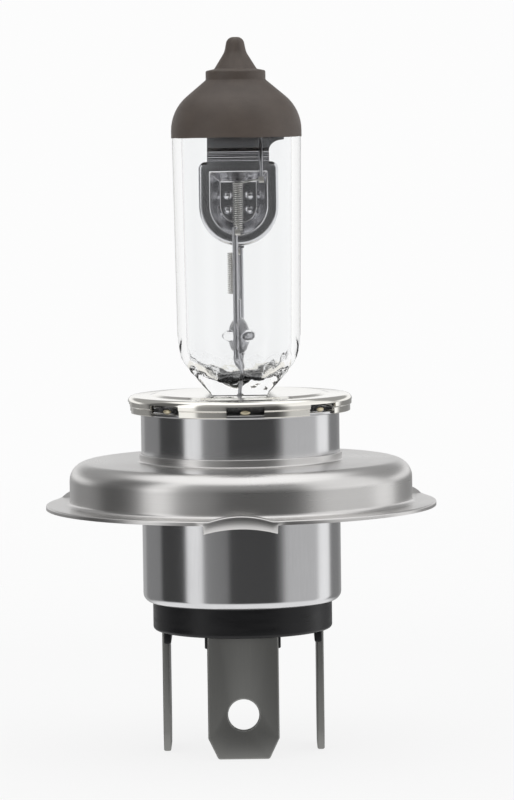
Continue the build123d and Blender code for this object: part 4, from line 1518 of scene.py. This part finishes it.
@dataclass
class Connector:
    """The black moulded plug and the three blade terminals."""

    blade_width: float = 7.8
    blade_thickness: float = 0.8
    blade_bevel: float = 0.2
    blade_turns: tuple[tuple[str, float], ...] = (
        ("passing_terminal", 0.0), ("common_terminal", -90.0), ("driving_terminal", 90.0),
    )
    shoulder: float = -6.0
    tag_half: float = 1.5
    tip_cut: Pair = (1.1, 2.3)
    hole_radius: float = 1.7
    hole_height: float = 4.9
    chamfer: float = 0.4
    boss: Corner = (8.3, 0.8, 2.2)
    boss_bevel: float = 0.18
    boss_setback: float = 0.2
    boss_height: float = 1.2
    skirt_radius: float = 9.95
    plug_radius: float = 10.45
    step: float = -9.45
    step_rise: float = 0.5
    columns: int = 160

    def reach(self, node: str) -> float:
        """How far a blade's middle plane stands from the axis."""
        low, high = span(node)
        return ((low + high) / 2).xy.length

    def blade(self, node: str, turn: float) -> BMesh:
        """One blade with its detent hole, tapered tip and broken edges.

        Args:
            node: The terminal's CAD node.
            turn: Degrees it is turned about the axis from the front.

        Returns:
            The mesh.
        """
        low, high = span(node)
        half, tag, (cut_x, cut_z) = self.blade_width / 2, self.tag_half, self.tip_cut
        right = [
            (half - cut_x, low.z), (half, low.z + cut_z), (half, self.shoulder),
            (tag, self.shoulder), (tag, high.z),
        ]
        left = [(-x, z) for x, z in reversed(right)]
        bm = bmesh.new()
        ring_of([bm.verts.new((x, 0, z)) for x, z in [left[-1], *right, *left[:-1]]], bm)
        place = Matrix.Translation((0, 0, low.z + self.hole_height))
        place = place @ Matrix.Rotation(math.radians(90), 4, "X")
        bmesh.ops.create_circle(
            bm, cap_ends=False, segments=64, radius=self.hole_radius, matrix=place
        )
        bmesh.ops.triangle_fill(bm, use_beauty=True, use_dissolve=False, edges=bm.edges[:])
        made = bmesh.ops.extrude_face_region(bm, geom=bm.faces[:])["geom"]
        bmesh.ops.translate(bm, vec=(0, self.blade_thickness, 0), verts=verts_of(made))
        face_out(bm)
        bevelled(bm, sharp_edges(bm, 40.0), self.blade_bevel, 3, clamp=True)
        out = -self.reach(node) - self.blade_thickness / 2
        bmesh.ops.translate(bm, vec=(0, out, 0), verts=bm.verts)
        turned(bm, bm.verts, turn)
        return bm

    def plug(self) -> BMesh:
        """The round plug with a bevelled boss behind each blade."""
        low, high = span("insulator_base")
        skirt_bottom = low.z + self.boss_height
        outline = eased(
            [
                (0, skirt_bottom, 0),
                (self.skirt_radius, skirt_bottom, self.chamfer),
                (self.skirt_radius, self.step - self.step_rise, 0.1),
                (self.plug_radius, self.step, 0),
                (self.plug_radius, high.z, 0.3),
                (0, high.z, 0),
            ],
            steps=5,
            closed=False,
        )
        bm = spun(outline, self.columns, closed=False)
        face_out(bm)
        depth, height = self.boss[1:]
        for node, turn in self.blade_turns:
            plane = self.reach(node) + self.blade_thickness / 2 - self.boss_setback
            made = block(bm, self.boss, (0, -plane + depth / 2, low.z + height / 2))
            edges = list({e for v in made for e in v.link_edges})
            turned(bm, made, turn)
            bevelled(bm, edges, self.boss_bevel)
        return bm

    def dress(self, resin: Moulding, strip: Metal) -> None:
        """Finishes the plug in black resin and the blades in dull plated strip.

        Args:
            resin: The plug's finish.
            strip: The blades' finish.
        """
        black = resin.material()
        finished(self.plug(), "moulded_plug", black, ["insulator_base"])
        metal = strip.material()
        for node, turn in self.blade_turns:
            name = node.replace("terminal", "blade")
            finished(self.blade(node, turn), name, metal, [node])


# Studio

# Light and dark panels round the bulb, as (degrees from the front, level), in three tiers.
BELT: Panels = (
    (-180, 0.45), (-150, 0.45), (-146, 0.27), (-110, 0.27), (-106, 0.06), (-70, 0.06), (-66, 1.0),
    (-48, 1.0), (-44, 0.28), (-17, 0.22), (-13, 0.06), (40, 0.06), (47, 0.2), (54, 0.6), (98, 0.6),
    (104, 1.1), (121, 1.1), (127, 0.25), (150, 0.25), (180, 0.45),
)
HORIZON: Panels = (
    (-180, 1.0), (-126, 1.0), (-118, 0.4), (-106, 0.1), (-70, 0.1), (-66, 1.5), (-48, 1.5),
    (-44, 0.32), (-17, 0.25), (-13, 0.12), (40, 0.12), (54, 1.1), (106, 1.1), (116, 0.5),
    (126, 1.0), (180, 1.0),
)
UPPER: Panels = (
    (-180, 0.35), (-112, 0.35), (-106, 0.12), (-70, 0.12), (-66, 1.3), (-48, 1.3), (-44, 0.4),
    (-10, 0.3), (40, 0.3), (54, 1.0), (106, 1.0), (116, 0.35), (180, 0.35),
)


def grey(level: float) -> tuple[float, float, float, float]:
    """An opaque grey."""
    return (level, level, level, 1.0)


@dataclass
class Studio:
    """A pale floor, a soft surround of light and dark panels, and the camera."""

    pale: float = 0.975
    camera_at: Corner = (1.9, -425.0, 42.0)
    aim: Corner = (1.9, 0.0, 11.3)
    roll: float = 0.75
    lens: float = 173.0
    overhead: float = 1.3
    below: float = 1.0
    behind: Pair = (0.2, 0.45)
    right: Pair = (0.75, 0.92)
    floor_radius: float = 0.9
    floor_drop: float = 0.0001
    floor_glow: float = 0.86
    floor_fade: Pair = (0.09, 0.35)

    def light(self) -> None:
        """Builds the world: panels by direction for reflections, plain pale behind the bulb."""
        world = bpy.data.worlds.new("soft_surround")
        bpy.context.scene.world = world
        world.use_nodes = True
        bench = NodeBench(world.node_tree)
        soft = {"interpolation_type": "SMOOTHSTEP"}
        x, y, z = bench.parts(bench.where("Generated"))
        angle = bench.calc("ARCTAN2", x, bench.calc("MULTIPLY", y, -1.0))
        share = bench.ranged(angle, (-math.pi, math.pi))

        def panels(stops: Panels) -> Socket:
            """One tier of panels, read by the angle round the bulb.

            Args:
                stops: The panels of the tier.

            Returns:
                The tier's colour.
            """
            ramp = bench.add("ValToRGB", share)
            marks = ramp.color_ramp.elements
            while len(marks) < len(stops):
                marks.new(0.5)
            for mark, (degrees, _) in zip(marks, stops):
                mark.position = (degrees + 180.0) / 360.0
            for mark, (_, level) in zip(marks, stops):
                mark.color = grey(level)
            return ramp.outputs[0]

        surround = bench.mix(bench.ranged(z, (0.0, 0.06), **soft), panels(BELT), panels(HORIZON))
        surround = bench.mix(bench.ranged(z, (0.2, 0.3), **soft), surround, panels(UPPER))
        surround = bench.mix(bench.ranged(z, (0.7, 0.84), **soft), surround, grey(self.overhead))
        surround = bench.mix(bench.ranged(z, (-0.3, -0.52), **soft), surround, grey(self.below))
        path = bench.add("LightPath").outputs
        sides = bench.ranged(y, self.behind, **soft), bench.ranged(x, self.right, **soft)
        bright = bench.calc("MAXIMUM", *sides)
        within = bench.calc("MULTIPLY", path["Transmission Depth"], bright, use_clamp=True)
        seen = bench.mix(within, surround, grey(self.pale))
        depths = path["Glossy Depth"], path["Diffuse Depth"]
        bounced = bench.calc("ADD", *depths, use_clamp=True)
        shade = bench.add("Background", bench.mix(bounced, grey(self.pale), seen))
        bench.add("OutputWorld", shade.outputs[0])
        bpy.context.scene.view_settings.view_transform = "Standard"

    def floor(self) -> None:
        """Builds the pale floor under the blades, which fades into the surround."""
        bm = bmesh.new()
        place = Matrix.Translation((0, 0, CAD_BOX[0].z - self.floor_drop))
        bmesh.ops.create_circle(
            bm, cap_ends=True, segments=96, radius=self.floor_radius, matrix=place
        )
        mesh = bpy.data.meshes.new("pale_floor")
        bm.to_mesh(mesh)
        bm.free()
        ground = linked("pale_floor", mesh)
        bench = Finish("pale_floor")
        bench.set(Base_Color=grey(0.9), Roughness=0.9, Specular_IOR_Level=0.1)
        glow = bench.add("Emission", grey(self.pale))

        def mixed(share: Feed, first: bpy.types.Node, second: bpy.types.Node) -> bpy.types.Node:
            """Mixes two shaders."""
            return bench.add("MixShader", share, first.outputs[0], second.outputs[0])

        lit = mixed(self.floor_glow, bench.shader, glow)
        fade = bench.ranged(bench.length(bench.where()), self.floor_fade)
        blend = mixed(fade, lit, bench.add("BsdfTransparent"))
        bench.feed(bench.surface, blend.outputs[0])
        mesh.materials.append(bench.material)
        ground.visible_glossy = False

    def camera(self) -> None:
        """Sets up the camera."""
        data = bpy.data.cameras.new("camera")
        data.lens = self.lens
        data.sensor_width = 36.0
        data.clip_start, data.clip_end = 0.01, 20.0
        eye = linked("camera", data)
        place, aim = Vector(self.camera_at) * MM, Vector(self.aim) * MM
        turn = (aim - place).to_track_quat("-Z", "Y").to_matrix().to_4x4()
        tilt = Matrix.Rotation(math.radians(-self.roll), 4, "Z")
        eye.matrix_world = Matrix.Translation(place) @ turn @ tilt
        bpy.context.scene.camera = eye


def dress_hidden(finish: Material, steel: Material) -> None:
    """Gives the CAD nodes sealed or shut inside their finishes.

    Args:
        finish: The metal of the foils and outer leads.
        steel: The finish of the pinch clamp.
    """
    for name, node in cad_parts.items():
        if node.hide_render:
            continue
        node.data.materials.clear()
        node.data.materials.append(steel if name == "pinch_clamp" else finish)
        LOG.info("%s kept from the frame", name)


def main() -> None:
    """Builds the studio and every sub-assembly in order."""
    logging.basicConfig(level=logging.INFO, format="%(name)s %(message)s")
    studio = Studio()
    studio.light()
    studio.floor()
    studio.camera()

    drawn, turned_grain, rolled = Grain.DRAWN, Grain.TURNED, Grain.ROLLED
    steel = Metal("drawn_steel", (0.76, 0.76, 0.77), (0.58, 0.58, 0.59), (0.12, 0.2), drawn)
    pressed = Metal(
        "pressed_steel", (0.74, 0.73, 0.72), (0.60, 0.59, 0.58), (0.24, 0.34), turned_grain, 0.0004
    )
    nickel = Metal(
        "bright_nickel", (0.93, 0.91, 0.86), (0.84, 0.82, 0.76), (0.08, 0.16), turned_grain, 0.0003
    )
    weld = Metal(
        "weld_bead", (0.90, 0.82, 0.60), (0.66, 0.58, 0.42), (0.3, 0.45), grain_depth=0.004
    )
    clamp = Metal("folded_nickel", (0.90, 0.88, 0.84), (0.74, 0.72, 0.68), (0.25, 0.4))
    moly = Metal(
        "rolled_molybdenum", (0.82, 0.82, 0.84), (0.68, 0.68, 0.70), (0.14, 0.22), rolled,
        mottle=0.12, dent_depth=0.12,
    )
    wire = Metal("drawn_molybdenum", (0.60, 0.60, 0.62), (0.42, 0.42, 0.44), (0.25, 0.4), drawn)
    tungsten = Metal("drawn_tungsten", (0.80, 0.79, 0.77), (0.58, 0.57, 0.55), (0.25, 0.4))
    strip = Metal(
        "plated_strip", (0.28, 0.28, 0.27), (0.23, 0.23, 0.22), (0.42, 0.52), drawn, 0.0008
    )
    bridge = Quartz("pressed_quartz", worked_ripple=0.12, worked_below=60.0, bend=(1.2, 1.3))
    # The inner wall's glass, greyed by painted shade at grazing angles.
    bore = Quartz("quartz_bore", clear=(0.93, 0.94, 0.945), edge=0.35)

    QuartzEnvelope().dress(Quartz(), bore, Ceramic())
    PrefocusFlange().dress(pressed)
    BaseShell().dress(steel)
    CapDisc().dress(nickel, weld)
    BeamShield().dress(moly)
    posts, coils = wire.material(), tungsten.material()
    InnerWiring().dress(bridge.material(), posts, clamp)
    passing = Filament(
        "passing_filament", centre_x=0.07, radius=0.5, bottom=30.0, length=5.3, turns=22.75,
        start=0.0, tail_in=[(0.14, -2.3, 30.0), (0.14, -1.4, 30.0)],
        tail_out=[(2.1, -0.28, 35.7), (3.0, -0.28, 35.7)],
    )
    driving = Filament(
        "driving_filament", centre_x=-0.67, radius=0.45, bottom=23.2, length=4.5, turns=19.75,
        start=90.0, tail_in=[(0.0, 0.42, 21.9), (0.0, 0.42, 22.62)],
        tail_out=[(-0.14, 1.87, 27.7), (-0.14, 2.77, 27.7)],
    )
    passing.dress(coils)
    driving.dress(coils)
    Connector().dress(Moulding(), strip)
    dress_hidden(posts, steel.material())


if __name__ == "__main__":
    main()
